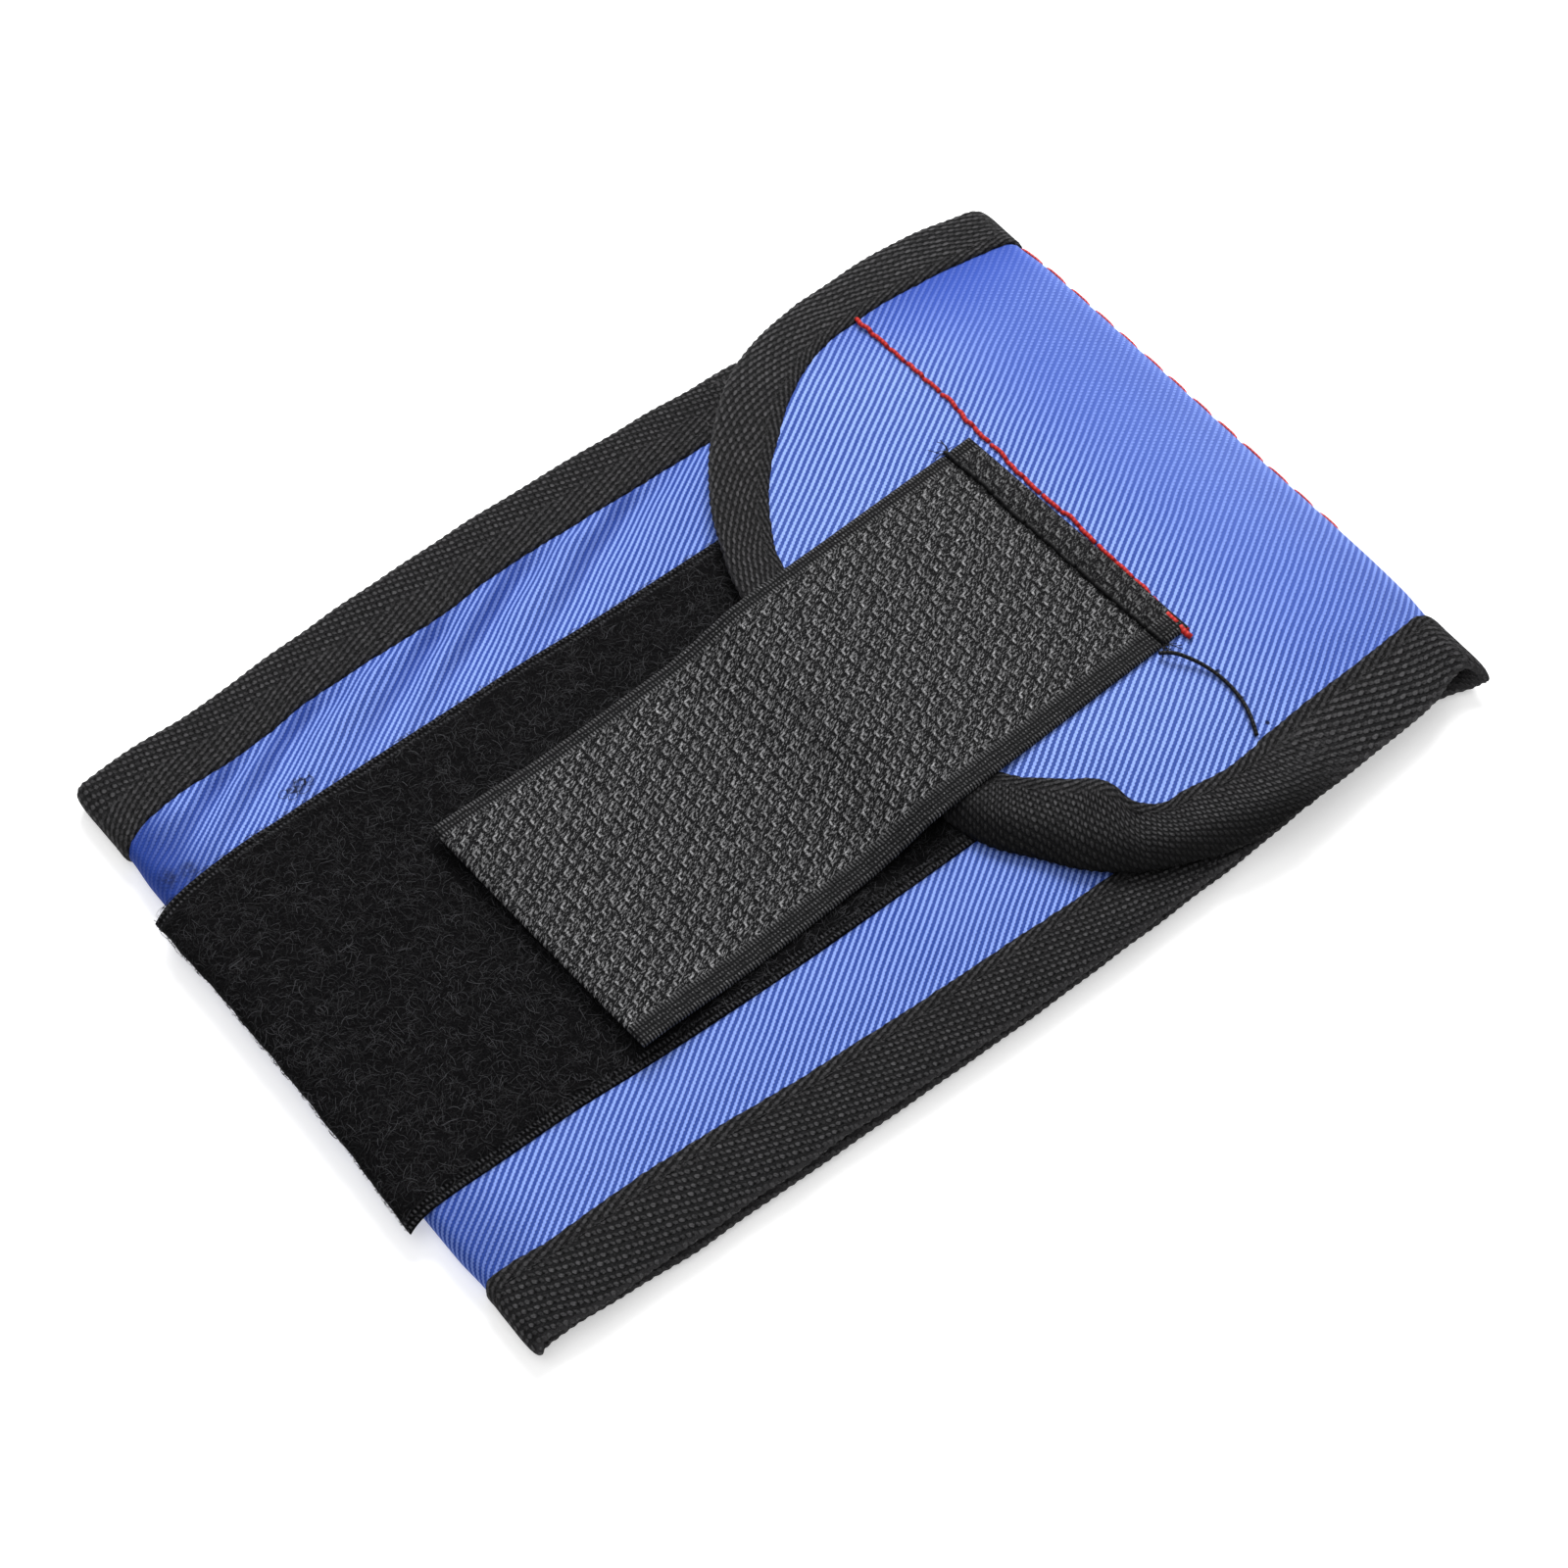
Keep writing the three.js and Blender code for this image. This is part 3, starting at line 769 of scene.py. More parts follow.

# Back of the strap: steps of its yarn scoops, and their marks (painted glints) by middle, half sizes, tilt,
# draw and light

SCOOP_STEP = 1.6
SCOOP_ROW = 1.766
SCOOP_STRAY = 0.7
SCOOP_MARKS = (
    ((-0.23, -0.13), (0.46, 0.17), 80.0, 0, 1.2, 0.4),
    ((0.14, 0.28), (0.55, 0.15), 12.0, 1, 1.2, 0.25),
    ((0.58, 0.6), (0.3, 0.13), 25.0, 0, 0.9, 0.2),
    ((0.5, -0.14), (0.29, 0.12), 20.0, 1, 0.8, 0.05),
    ((-0.05, -0.68), (0.42, 0.1), 22.0, 0, 0.5, 0.05),
)
# A painted shadow in the hollow beside each scoop
SCOOP_HOLLOW = ((-0.62, -0.12), (0.36, 0.2), 85.0)
FLECK_TILT = math.radians(27.0)
STRAP_RIB = 0.43
STRAP_BRIM = 18.9
NEAR_SELVAGE = 16.3
FAR_SELVAGE = 17.3
SELVAGE_FADE = 0.3
SELVAGE_DOTS = (0.12, 0.34)

# Shaders


class Wire:
    """A socket of a material's node tree; Python's operators on it add Math nodes."""

    def __init__(self, tree, socket=None):
        self.tree = tree
        self.socket = socket

    def node(self, kind, settings=None, inputs=None, output=0):
        """Adds a node: its settings first, then the values or links of its sockets."""
        made = self.tree.nodes.new(kind)
        for name, value in (settings or {}).items():
            setattr(made, name, value)
        for name, value in (inputs or {}).items():
            if isinstance(value, Wire):
                self.tree.links.new(value.socket, made.inputs[name])
            else:
                made.inputs[name].default_value = value
        return Wire(self.tree, made.outputs[output] if len(made.outputs) else None)

    def other(self, output):
        """Another output of the node that this socket belongs to."""
        return Wire(self.tree, self.socket.node.outputs[output])

    def math(self, operation, *values):
        """A Math node."""
        return self.node("ShaderNodeMath", {"operation": operation}, dict(enumerate(values)))

    def __add__(self, value):
        return self.math("ADD", self, value)

    def __radd__(self, value):
        return self.math("ADD", value, self)

    def __sub__(self, value):
        return self.math("SUBTRACT", self, value)

    def __rsub__(self, value):
        return self.math("SUBTRACT", value, self)

    def __mul__(self, value):
        return self.math("MULTIPLY", self, value)

    def __rmul__(self, value):
        return self.math("MULTIPLY", value, self)

    def __truediv__(self, value):
        return self.math("DIVIDE", self, value)

    def __rtruediv__(self, value):
        return self.math("DIVIDE", value, self)

    def __mod__(self, value):
        return self.math("FLOORED_MODULO", self, value)

    def floor(self):
        """The whole number below."""
        return self.math("FLOOR", self)

    def size(self):
        """The value without its sign."""
        return self.math("ABSOLUTE", self)

    def wave(self):
        """A soft wave from 0 to 1 with one crest at each whole number."""
        return self.math("COSINE", self * (2.0 * math.pi)) * 0.5 + 0.5

    def step(self, low, high):
        """0 below low, 1 above high, smooth between."""
        return self.node(
            "ShaderNodeMapRange",
            {"interpolation_type": "SMOOTHSTEP"},
            {"Value": self, "From Min": low, "From Max": high},
        )

    def least(self, value):
        """The smaller of two values."""
        return self.math("MINIMUM", self, value)

    def most(self, value):
        """The larger of two values."""
        return self.math("MAXIMUM", self, value)

    def noise(self, vector, scale, detail=2.0, roughness=0.5):
        """Smooth noise, about 0 to 1."""
        return self.node(
            "ShaderNodeTexNoise",
            {"noise_dimensions": "3D"},
            {"Vector": vector, "Scale": scale, "Detail": detail, "Roughness": roughness},
        )

    def blend(self, share, first, second):
        """Mixes two colours."""
        return self.node(
            "ShaderNodeMix",
            {"data_type": "RGBA"},
            {"Factor": share, 6: first, 7: second},
            output=2,
        )

    def vector(self, x, y, z=0.0):
        """A vector from three values."""
        return self.node("ShaderNodeCombineXYZ", None, {"X": x, "Y": y, "Z": z})

    def bump(self, height, distance, strength=1.0):
        """A normal that stands up where the height does; the distance is in metres."""
        sockets = {"Height": height, "Distance": distance, "Strength": strength}
        return self.node("ShaderNodeBump", None, sockets)

    def surface(self, **sockets):
        """The material's shader, by socket name with underscores for spaces."""
        named = {name.replace("_", " "): value for name, value in sockets.items()}
        shader = self.node("ShaderNodeBsdfPrincipled", None, named)
        self.node("ShaderNodeOutputMaterial", None, {"Surface": shader})


def new_finish(name):
    """An empty material and its cloth coordinates in mm: (material, wire, along, across)."""
    finish = bpy.data.materials.new(name)
    finish.use_nodes = True
    finish.node_tree.nodes.clear()
    wire = Wire(finish.node_tree)
    place = wire.node("ShaderNodeUVMap", {"uv_map": WEAVE})
    parts = wire.node("ShaderNodeSeparateXYZ", None, {0: place})
    return finish, wire, parts, parts.other(1)


def shared_finish(name, maker, context):
    """The material of this name, made on first use."""
    found = bpy.data.materials.get(name)
    return found or maker(name, context.scene.wristband_sizes, context.scene.wristband_colours)


def lattice(along, across, first, second):
    """Cuts a cloth into slanted cells: offsets in mm from each cell's middle, and the cell's two numbers."""
    area = first[0] * second[1] - first[1] * second[0]
    p = along * (second[1] / area) - across * (second[0] / area)
    q = across * (first[0] / area) - along * (first[1] / area)
    row = (p + 0.5).floor()
    lane = (q + 0.5).floor()
    p, q = p - row, q - lane
    return p * first[0] + q * second[0], p * first[1] + q * second[1], row, lane


def grain(x, y, centre, size, tilt, soft=(0.2, 1.3)):
    """1 inside a slanted ellipse, softly 0 outside."""
    cosine, sine = math.cos(math.radians(tilt)), math.sin(math.radians(tilt))
    x, y = x - centre[0], y - centre[1]
    along = (x * cosine + y * sine) / size[0]
    beside = (y * cosine - x * sine) / size[1]
    return 1.0 - (along * along + beside * beside).step(*soft)


def distance_to(wire, place, centre):
    """How far a place on the cloth is from a point of it, in mm."""
    point = (float(centre[0]), float(centre[1]), 0.0)
    return wire.node("ShaderNodeVectorMath", {"operation": "DISTANCE"}, {0: place, 1: point}, output="Value")


def noise_at(wire, x, y, detail=0.0):
    """Noise at two stretched coordinates, or a shade of its own for each cell by its two numbers."""
    return wire.noise(wire.vector(x, y), 1.0, detail)


def strongest(masks):
    """The largest of several masks at each place."""
    return reduce(Wire.most, masks)


def scaled(colour, share):
    """A colour made darker or lighter, up to white."""
    return (*(min(1.0, part * share) for part in colour[:3]), 1.0)


def crease_shade(wire, place, x, y):
    """1 in the valleys of the creases beyond the loop strip, where a painted shade goes."""
    beside = y * math.cos(FAR_FOLD_ANGLE) - x * math.sin(FAR_FOLD_ANGLE)
    beside = beside + (wire.noise(place, 0.12, 1.0) - 0.5) * 1.6
    valleys = [middle + CREASE_SHADE_SHIFT for middle, height in FAR_FOLDS if height < CREASE_VALLEY]
    return strongest(1.0 - (beside - middle).size().step(0.2, 1.9) for middle in valleys)


def smudges(wire, place, band):
    """Stains of lint on the loop panel."""
    stains = []
    for x, y, reach in SMUDGES:
        centre = band.weave(band.length_at("loop", x), y)
        stains.append(1.0 - distance_to(wire, place, centre).step(0.1 * reach, reach))
    return strongest(stains) * wire.noise(place, 1.1, 4.0, 0.7).step(0.25, 0.65)


def needle_holes(wire, place, band):
    """Old needle holes in the tongue's cover."""
    dents = []
    for x, y in NEEDLE_HOLES:
        centre = band.weave(band.length_at("tongue", x), y)
        dents.append(1.0 - distance_to(wire, place, centre).step(*NEEDLE_DENT))
    return reduce(Wire.__add__, dents)


def twill_finish(name, sizes, colours):
    """Blue twill: diagonal cords of small beads, with painted highlight on the ribs and painted shade in the
    grooves, pressed flatter by the right fold, with needle holes.
    """
    finish, wire, along, across = new_finish(name)
    band = Band(sizes)
    shade = tuple(colours.twill_shade)
    cosine, sine = math.cos(sizes.rib_angle), math.sin(sizes.rib_angle)
    place = wire.vector(along, across)
    sway = wire.noise(place, 0.09, 2.0)
    fine = wire.noise(place, 2.4, 3.0, 0.6) - 0.5
    rib = (across * cosine - along * sine) / (sizes.rib_pitch / MM) + sway * 0.6
    strand = (along * cosine + across * sine) / BEAD_PITCH
    bead = (strand + rib * 0.5).wave()
    phase = rib + (bead - 0.5) * 0.13 + fine * 0.22
    ridge = phase.wave().step(0.36, 0.7)
    fold = float(band.weave(band.starts[1], 0.0)[0])
    tongue = 1.0 - along.step(fold, fold + 6.0)
    pressed = along.step(fold - 20.0, fold - 4.0) * (1.0 - along.step(fold + 5.0, fold + 12.0))
    pressed = pressed * (across.step(-36.0, 10.0) * 0.7 + 0.25)
    patch = wire.noise(place, 0.05, 3.0)
    thread = noise_at(wire, rib.floor() * 7.31, strand * 0.3, 1.0)
    cord = ridge * (bead * 0.16 + 0.88)
    # On the right fold the ribs are drawn flatter and lighter: pressed cloth, with a painted sheen from the
    # light on its slope
    dots = ridge * (bead.step(0.25, 0.8) * 0.5 + 0.12) + 0.28
    glow = cord * (1.0 - pressed) + dots * pressed
    glow = glow * (thread * 0.24 + 0.88) + (patch - 0.5) * 0.2 + fine * 0.22 + tongue * 0.03 + 0.04
    # Ribs and grooves: lit and shaded copies of one blue, painted highlight and painted shade
    colour = wire.blend(glow.most(0.0).least(1.0), tuple(colours.twill_groove_shade), tuple(colours.twill_rib_highlight))
    # Painted highlight on the crest of the right fold
    crest_highlight = along.step(fold - 6.0, fold + 1.5) * (1.0 - along.step(fold + 4.0, fold + 7.0))
    colour = wire.blend(crest_highlight * 0.1, colour, TWILL_CREST_HIGHLIGHT)
    loop_x = (along - float(band.weave(band.starts[4], 0.0)[0])) / LOOP_WEAVE[0] + band.left_turn
    loop_y = across / LOOP_WEAVE[1]
    on_loop = loop_x.step(band.left_turn - 1.0, band.left_turn + 3.0)
    # Painted shade in the valleys of the creases beyond the loop strip
    gloom = crease_shade(wire, place, loop_x, loop_y) * on_loop
    gloom = gloom * (loop_y.step(26.5, 36.0) * 0.8 + 0.2) * loop_y.step(24.0, 27.0)
    colour = wire.blend(gloom * 0.52, colour, shade)
    # Painted shade on the tongue near the right fold and along its far side, and a slight even deepening of
    # the loop panel
    tongue_painted_shade = along.step(fold - 25.0, fold - 8.0) * (across.step(-5.0, 20.0) * 0.13 + 0.32)
    tongue_painted_shade = tongue_painted_shade + across.step(27.0, 40.0) * along.step(fold - 34.0, fold - 16.0) * 0.36
    on_loop = loop_x.step(band.left_turn - 6.0, band.left_turn)
    colour = wire.blend((tongue_painted_shade * tongue).most(on_loop * 0.1), colour, TWILL_PAINTED_SHADE)
    # Painted shade where the loop panel turns round the left fold
    left_fold_painted_shade = loop_x.step(band.left_turn - 9.0, band.left_turn - 5.0)
    left_fold_painted_shade = left_fold_painted_shade * (1.0 - loop_x.step(band.left_turn - 0.5, band.left_turn + 9.5))
    left_fold_painted_shade = left_fold_painted_shade * (across.step(-10.0, 25.0) * 0.4 + 0.54)
    # Painted shade along the far edges of the tongue and the loop panel, beside the tape
    edge = across.step(33.0, 42.0) * along.step(fold - 40.0, fold - 20.0) * tongue * 0.3
    edge = edge.most(loop_y.step(32.0, 41.0) * on_loop * 0.26)
    colour = wire.blend(left_fold_painted_shade.most(edge), colour, shade)
    colour = wire.blend(smudges(wire, place, band) * 0.75, colour, SMUDGE_BLACK)
    hole = needle_holes(wire, place, band)
    colour = wire.blend(hole.least(0.85), colour, NEEDLE_BLACK)
    height = (ridge * 0.8 + bead * 0.15) * (1.0 - pressed * 0.6) - hole * 2.0
    wire.surface(
        Base_Color=colour,
        Roughness=(1.0 - ridge) * 0.15 + 0.62,
        Normal=wire.bump(height, 0.00012),
        Specular_IOR_Level=0.12,
    )
    return finish


def yarns(wire, along, across, cell, size, tilt):
    """The yarns of one weave: bright grains with dimmer ones between, and a painted shadow in the hollow
    beside each.
    """
    x, y, row, lane = lattice(along, across, *cell)
    each = noise_at(wire, row * 3.7, lane * 5.3)
    bright = grain(x, y, (0.0, 0.0), size, tilt, (0.35, 1.4)) * (each * 1.2 + 0.3)
    # Painted shadow in the hollow beside each grain
    hollow = grain(x, y, (-size[0] * 1.1, size[1] * 1.3), (size[0], size[1] * 0.9), tilt, (0.0, 1.6))
    half_along, half_across = (cell[0][0] + cell[1][0]) * 0.5, (cell[0][1] + cell[1][1]) * 0.5
    x, y, row, lane = lattice(along + half_along, across + half_across, *cell)
    each = noise_at(wire, row * 2.9 + 30.0, lane * 4.3)
    dim = grain(x, y, (0.0, 0.0), (size[0] * 0.9, size[1] * 0.9), tilt, (0.25, 1.4)) * (each * 0.9 + 0.1)
    return bright.most(dim), hollow * (1.0 - dim)


def tape_finish(name, sizes, colours):
    """Black binding tape: slanted grains of yarn, and flat columns of them inside the stitch row."""
    finish, wire, along, across = new_finish(name)
    band = Band(sizes)
    end = float(lengths_along(band.tongue_path(PATH_STEP))[-1])
    place = wire.vector(along, across)
    wobble = wire.noise(place, 0.6, 2.0) - 0.5
    drift = wire.noise(place, 0.23, 1.0) - 0.5
    slant = along + wobble * 0.4 + drift * 0.6
    far = along.step(end - 2.0, end + 2.0)
    on_tongue = along.step(-2.0, 2.0) * (1.0 - far)
    corner = tape_corner(band, along)
    shift = across + drift * 0.4
    slanted, pit = yarns(wire, slant, shift, *LOOP_TAPE)
    upright, gap = yarns(wire, slant, shift, *TONGUE_TAPE)
    gathered, dent = yarns(wire, slant, shift, *CORNER_TAPE)
    flat, hole = yarns(wire, along + wobble * 0.4, across + wobble * 0.2, *INNER_TAPE)
    upright = upright * (1.0 - corner) + gathered * corner
    gap = gap * (1.0 - corner) + dent * corner
    weave = slanted * (1.0 - on_tongue) + upright * on_tongue * 1.12
    hollow = pit * (1.0 - on_tongue) + gap * on_tongue
    outside = (across + wobble * 1.2 - far * 2.6).step(1.4, 2.6)
    uneven = wire.noise(place, 0.3, 2.0)
    fuzz = wire.noise(place, 3.6, 3.0, 0.65)
    speck = wire.noise(place, 4.6, 2.0, 0.6).step(0.5, 0.72)
    weave = weave * outside + (flat * 0.8).most(speck * 0.7) * (1.0 - outside)
    hollow = hollow * outside + hole * (1.0 - outside) * 0.7
    glow = weave * (uneven * 0.7 + 0.35) * (fuzz * 1.2 + 0.4) + (fuzz - 0.5) * 0.9
    # Bright grains: painted highlight on the tops of the black yarn
    colour = wire.blend(glow.most(0.0).least(1.0), tuple(colours.tape), tuple(colours.tape_float_highlight))
    # Painted shade on the curled rim of the tongue's near corner
    curled = corner * across.step(4.4, 8.4)
    # Painted shadows beside the grains, and the curled rim's painted shade, both in near black
    colour = wire.blend((hollow * 0.85).most(curled * 0.88), colour, PAINTED_SHADOW_BLACK)
    # Painted highlight on the tape's rolled outer rim, away from the tongue's near corner
    rim = across.step(8.4, 9.2) * (1.0 - corner)
    colour = wire.blend(rim * 0.35, colour, tuple(colours.tape_float_highlight))
    wire.surface(
        Base_Color=colour,
        Roughness=0.8 - weave * 0.2,
        Normal=wire.bump(weave - hollow * 0.6 + fuzz * 0.6, 0.0002),
        Specular_IOR_Level=0.1,
    )
    return finish


def tape_corner(band, along):
    """1 on the tape of the tongue's near corner, whose rim curls under and takes a painted shade."""
    path = band.tongue_path(PATH_STEP)
    lengths = lengths_along(path)
    places = [float(lengths[nearest_on(path, x, y)]) for x, y in DARK_CORNER]
    return along.step(places[0], places[1]) * (1.0 - along.step(places[2], places[3]))


def pile_finish(name, sizes, colours):
    """Black brushed pile, with ribbed selvages along both edges of the strip."""
    finish, wire, along, across = new_finish(name)
    place = wire.vector(along, across)
    clump = wire.noise(place, 0.55, 4.0, 0.65)
    fuzz = wire.noise(place, 4.0, 4.0, 0.7)
    pile = fuzz.step(0.45, 0.8) * clump * 0.8
    wobble = wire.noise(place, 0.9, 2.0) - 0.5
    rib = (along / STRIP_RIB + wobble * 0.5 + across * 0.35).wave().step(0.3, 0.9)
    bar = (across / STRIP_BAR + wobble * 0.6).wave().step(0.25, 0.8)
    each = noise_at(wire, (along / STRIP_RIB).floor() * 3.3, (across / STRIP_BAR).floor() * 5.1)
    selvage = (across.size() + wobble * 0.9).step(*STRIP_SELVAGE_FADE)
    knit = rib * bar * (each * 1.6 + 0.2)
    glow = pile * (1.0 - selvage) + knit * selvage * 1.2
    deep = scaled(colours.pile, 0.22)
    light = scaled(colours.pile, 2.4)
    colour = wire.blend(glow.least(1.4), deep, light)
    colour = wire.blend((knit * selvage * 0.8).least(1.0), colour, SELVAGE_YARN)
    wire.surface(
        Base_Color=colour,
        Roughness=0.9,
        Normal=wire.bump((fuzz * 0.6 + clump) * (1.0 - selvage) + knit * selvage * 0.7, 0.0003),
        Specular_IOR_Level=0.05,
    )
    return finish


def fibre_finish(name, sizes, colours):
    """Single fibres of the pile, each its own shade of black."""
    finish, wire, shade, along = new_finish(name)
    deep = scaled(colours.pile, 0.4)
    light = scaled(colours.pile, 5.2)
    colour = wire.blend(shade.least(1.0), deep, light)
    wire.surface(Base_Color=colour, Roughness=along * 0.2 + 0.6, Specular_IOR_Level=0.12)
    return finish


def strap_finish(name, sizes, colours):
    """Back of the hook strap: a checker of bright yarn scoops, their glints painted in, on a fine rib weave,
    with dotted selvages.
    """
    finish, wire, along, across = new_finish(name)
    place = wire.vector(along, across)
    wobble = wire.noise(place, 0.8, 2.0) - 0.5
    column = along / SCOOP_STEP + wobble * 0.08
    index = (column + 0.5).floor()
    row = across / SCOOP_ROW + (index % 2.0) * 0.5 + wobble * 0.08
    line = (row + 0.5).floor()
    aside = noise_at(wire, index * 2.3 + 9.0, line * 3.9) - 0.5
    ahead = noise_at(wire, index * 5.9, line * 1.7 + 20.0) - 0.5
    x = (index - column) * SCOOP_STEP + aside * SCOOP_STRAY
    y = (row - line) * SCOOP_ROW + ahead * SCOOP_STRAY
    draws = (noise_at(wire, index * 3.1, line * 5.7), noise_at(wire, index * 4.7, line * 2.3 + 40.0))
    marks = strongest(
        grain(x, y, centre, size, tilt) * (draws[which] * gain + least)
        for centre, size, tilt, which, gain, least in SCOOP_MARKS
    )
    # Painted shadow in the hollow beside each scoop
    dark = grain(x, y, *SCOOP_HOLLOW)
    yarn = (across / 0.35 - along * 0.9 + wobble * 1.2).wave()
    fuzz = wire.noise(wire.vector(along * 1.4, across * 2.4), 2.6, 2.0, 0.6).step(0.4, 0.75)
    cosine, sine = math.cos(FLECK_TILT), math.sin(FLECK_TILT)
    run = across * sine - along * cosine
    side = across * cosine + along * sine
    flecks = noise_at(wire, run * 1.6, side * 4.2, 1.0).step(0.55, 0.66)
    specks = noise_at(wire, run * 2.6 + 50.0, side * 5.6, 1.0).step(0.56, 0.67)
    gloom = noise_at(wire, run * 1.4, side * 3.4 + 90.0, 1.0).step(0.52, 0.66)
    cloud = wire.noise(place, 0.5, 3.0, 0.6).step(0.3, 0.7)
    face = marks * (cloud * 0.4 + 0.4) + flecks * (cloud * 0.3 + 0.3) + specks * 0.42
    face = face * (1.0 - dark * 0.7) * (0.75 - gloom * 0.58)
    # Painted shade along the groove of the strap's seam
    face = face * (along.size().step(0.1, 0.8) * 0.75 + 0.25)
    rib = (along / STRAP_RIB + wobble * 0.4).wave()
    edge_near = 1.0 - (across + NEAR_SELVAGE).size().step(*SELVAGE_DOTS)
    edge_far = 1.0 - (across - FAR_SELVAGE).size().step(*SELVAGE_DOTS)
    brim = (across.size() - STRAP_BRIM).step(-0.45, -0.1)
    dots = (edge_near + edge_far + brim * 0.8) * rib.step(0.35, 0.8) * (specks * 0.8 + 0.5)
    shift = across + wobble * 0.3
    middle = shift.step(-NEAR_SELVAGE, SELVAGE_FADE - NEAR_SELVAGE)
    middle = middle * (1.0 - shift.step(FAR_SELVAGE - SELVAGE_FADE, FAR_SELVAGE))
    tail = along.step(-0.8, 0.4) * 0.45 + 0.55
    cross = (across / 0.62 + wobble).wave().step(0.3, 0.9)
    border = rib.step(0.15, 0.95) * (cross * 0.3 + 0.04) * (fuzz * 0.6 + specks * 0.9 + 0.3)
    weave = face * middle * tail + (border * 0.8 + dots * 0.26) * (cloud * 0.6 + 0.6) * (1.0 - middle)
    # Bright scoops, flecks and selvage dots: painted glints on the black yarn
    colour = wire.blend(weave.least(1.0), tuple(colours.hook_ground), tuple(colours.hook_yarn_glint))
    wire.surface(
        Base_Color=colour,
        Roughness=0.75 - weave * 0.15,
        Normal=wire.bump(weave + yarn * 0.2 - dark * 0.4, 0.0002),
        Specular_IOR_Level=0.1,
    )
    return finish


def hook_finish(name, sizes, colours):
    """Moulded nylon hooks, a little glossy."""
    finish, wire, along, across = new_finish(name)
    speckle = wire.noise(wire.vector(along, across), 3.0, 2.0)
    colour = wire.blend(speckle, HOOK_DARK, HOOK_LIGHT)
    wire.surface(Base_Color=colour, Roughness=speckle * 0.2 + 0.35)
    return finish


def lining_finish(name, sizes, colours):
    """Knitted mesh lining: rows of small dark eyelets."""
    finish, wire, along, across = new_finish(name)
    row = across / EYELET_STEP[1]
    eye_x = (along / EYELET_STEP[0] + (row.floor() % 2.0) * 0.5 + 0.5).wave()
    eye = (eye_x * (1.0 - row.wave())).step(0.35, 0.75)
    knit = (along / 0.33 + across / 0.9).wave()
    colour = wire.blend(eye, tuple(colours.lining), EYELET_BLACK)
    wire.surface(
        Base_Color=colour,
        Roughness=knit * 0.15 + 0.7,
        Normal=wire.bump(knit * 0.3 - eye, 0.0003),
        Specular_IOR_Level=0.12,
    )
    return finish


def thread_finish(name, colour, light):
    """Twisted sewing thread: a darker and a lighter copy of its colour along the twist, painted shade and
    painted highlight of its plies.
    """
    finish, wire, along, around = new_finish(name)
    twist = (along + around).wave()
    fuzz = wire.noise(wire.vector(along, around), 5.0, 2.0)
    dark = scaled(colour, 0.55)
    bright = scaled(colour, light)
    wire.surface(
        Base_Color=wire.blend(twist * 0.8 + fuzz * 0.2, dark, bright),
        Roughness=0.6 - twist * 0.15,
        Normal=wire.bump(twist, 0.00006),
        Specular_IOR_Level=0.2,
    )
    return finish


def red_thread_finish(name, sizes, colours):
    """Red sewing thread."""
    return thread_finish(name, tuple(colours.red_thread), 1.1)


def pale_thread_finish(name, sizes, colours):
    """Red sewing thread, drawn paler on the fold."""
    return thread_finish(name, tuple(min(1.0, c * 1.2 + 0.06) for c in colours.red_thread), 1.3)


def black_thread_finish(name, sizes, colours):
    """Black sewing thread."""
    return thread_finish(name, tuple(colours.black_thread), 1.2)


def nickel_finish(name, sizes, colours):
    """Nickel plating with faint handling scratches."""
    finish, wire, along, across = new_finish(name)
    scratch = wire.noise(wire.vector(along * 0.2, across * 6.0), 2.0, 3.0)
    colour = wire.blend(scratch, tuple(colours.nickel), scaled(colours.nickel, 0.8))
    wire.surface(
        Base_Color=colour,
        Metallic=1.0,
        Roughness=scratch * 0.2 + 0.18,
        Normal=wire.bump(scratch, 0.00001),
    )
    return finish


def floor_finish(name, sizes, colours):
    """Matt white studio floor."""
    finish, wire, along, across = new_finish(name)
    mottle = wire.noise(wire.vector(along, across), 0.02, 2.0)
    wire.surface(
        Base_Color=wire.blend(mottle * 0.04, tuple(colours.floor), FLOOR_MOTTLE),
        Roughness=0.9,
        Specular_IOR_Level=0.1,
        Emission_Color=WHITE,
        Emission_Strength=FLOOR_GLOW,
    )
    return finish


# Pieces

FOLD_MARGIN = 3.0
SHORTEST_STEP = 0.3


def bend_with(piece, band, part, nodes=()):
    """Bakes a piece's place into its mesh and hides the solids that it stands for; the joint of its part is
    looked up but not used.
    """
    bodies, start, end = band.joint(part)
    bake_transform(piece)
    if nodes:
        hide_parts(*nodes)


def part_nodes(part, layer):
    """The solids of one layer that a part of the strip stands for."""
    if part in FOLDS:
        return [f"{part}_lower_{layer}", f"{part}_upper_{layer}"]
    return [f"{'base' if part.startswith('base') else part}_{layer}"]


def stations(band, part, step, fine):
    """Lengths along a part: a step apart on the flat, finer towards the folds."""
    start, end = band.parts[part]
    places = [start]
    while places[-1] < end:
        here = places[-1]
        nearest = min(abs(here - s) for s in band.starts[1:5])
        in_fold = any(band.starts[i] <= here <= band.starts[i + 1] for i in (1, 3))
        places.append(here + (fine if in_fold or nearest < FOLD_MARGIN else step))
    places[-1] = end
    if len(places) > 2 and places[-1] - places[-2] < SHORTEST_STEP * fine:
        places.pop(-2)
    return np.array(places)


# Layers of the strip: the parts that count as sheets, with the short fold pieces that go with them

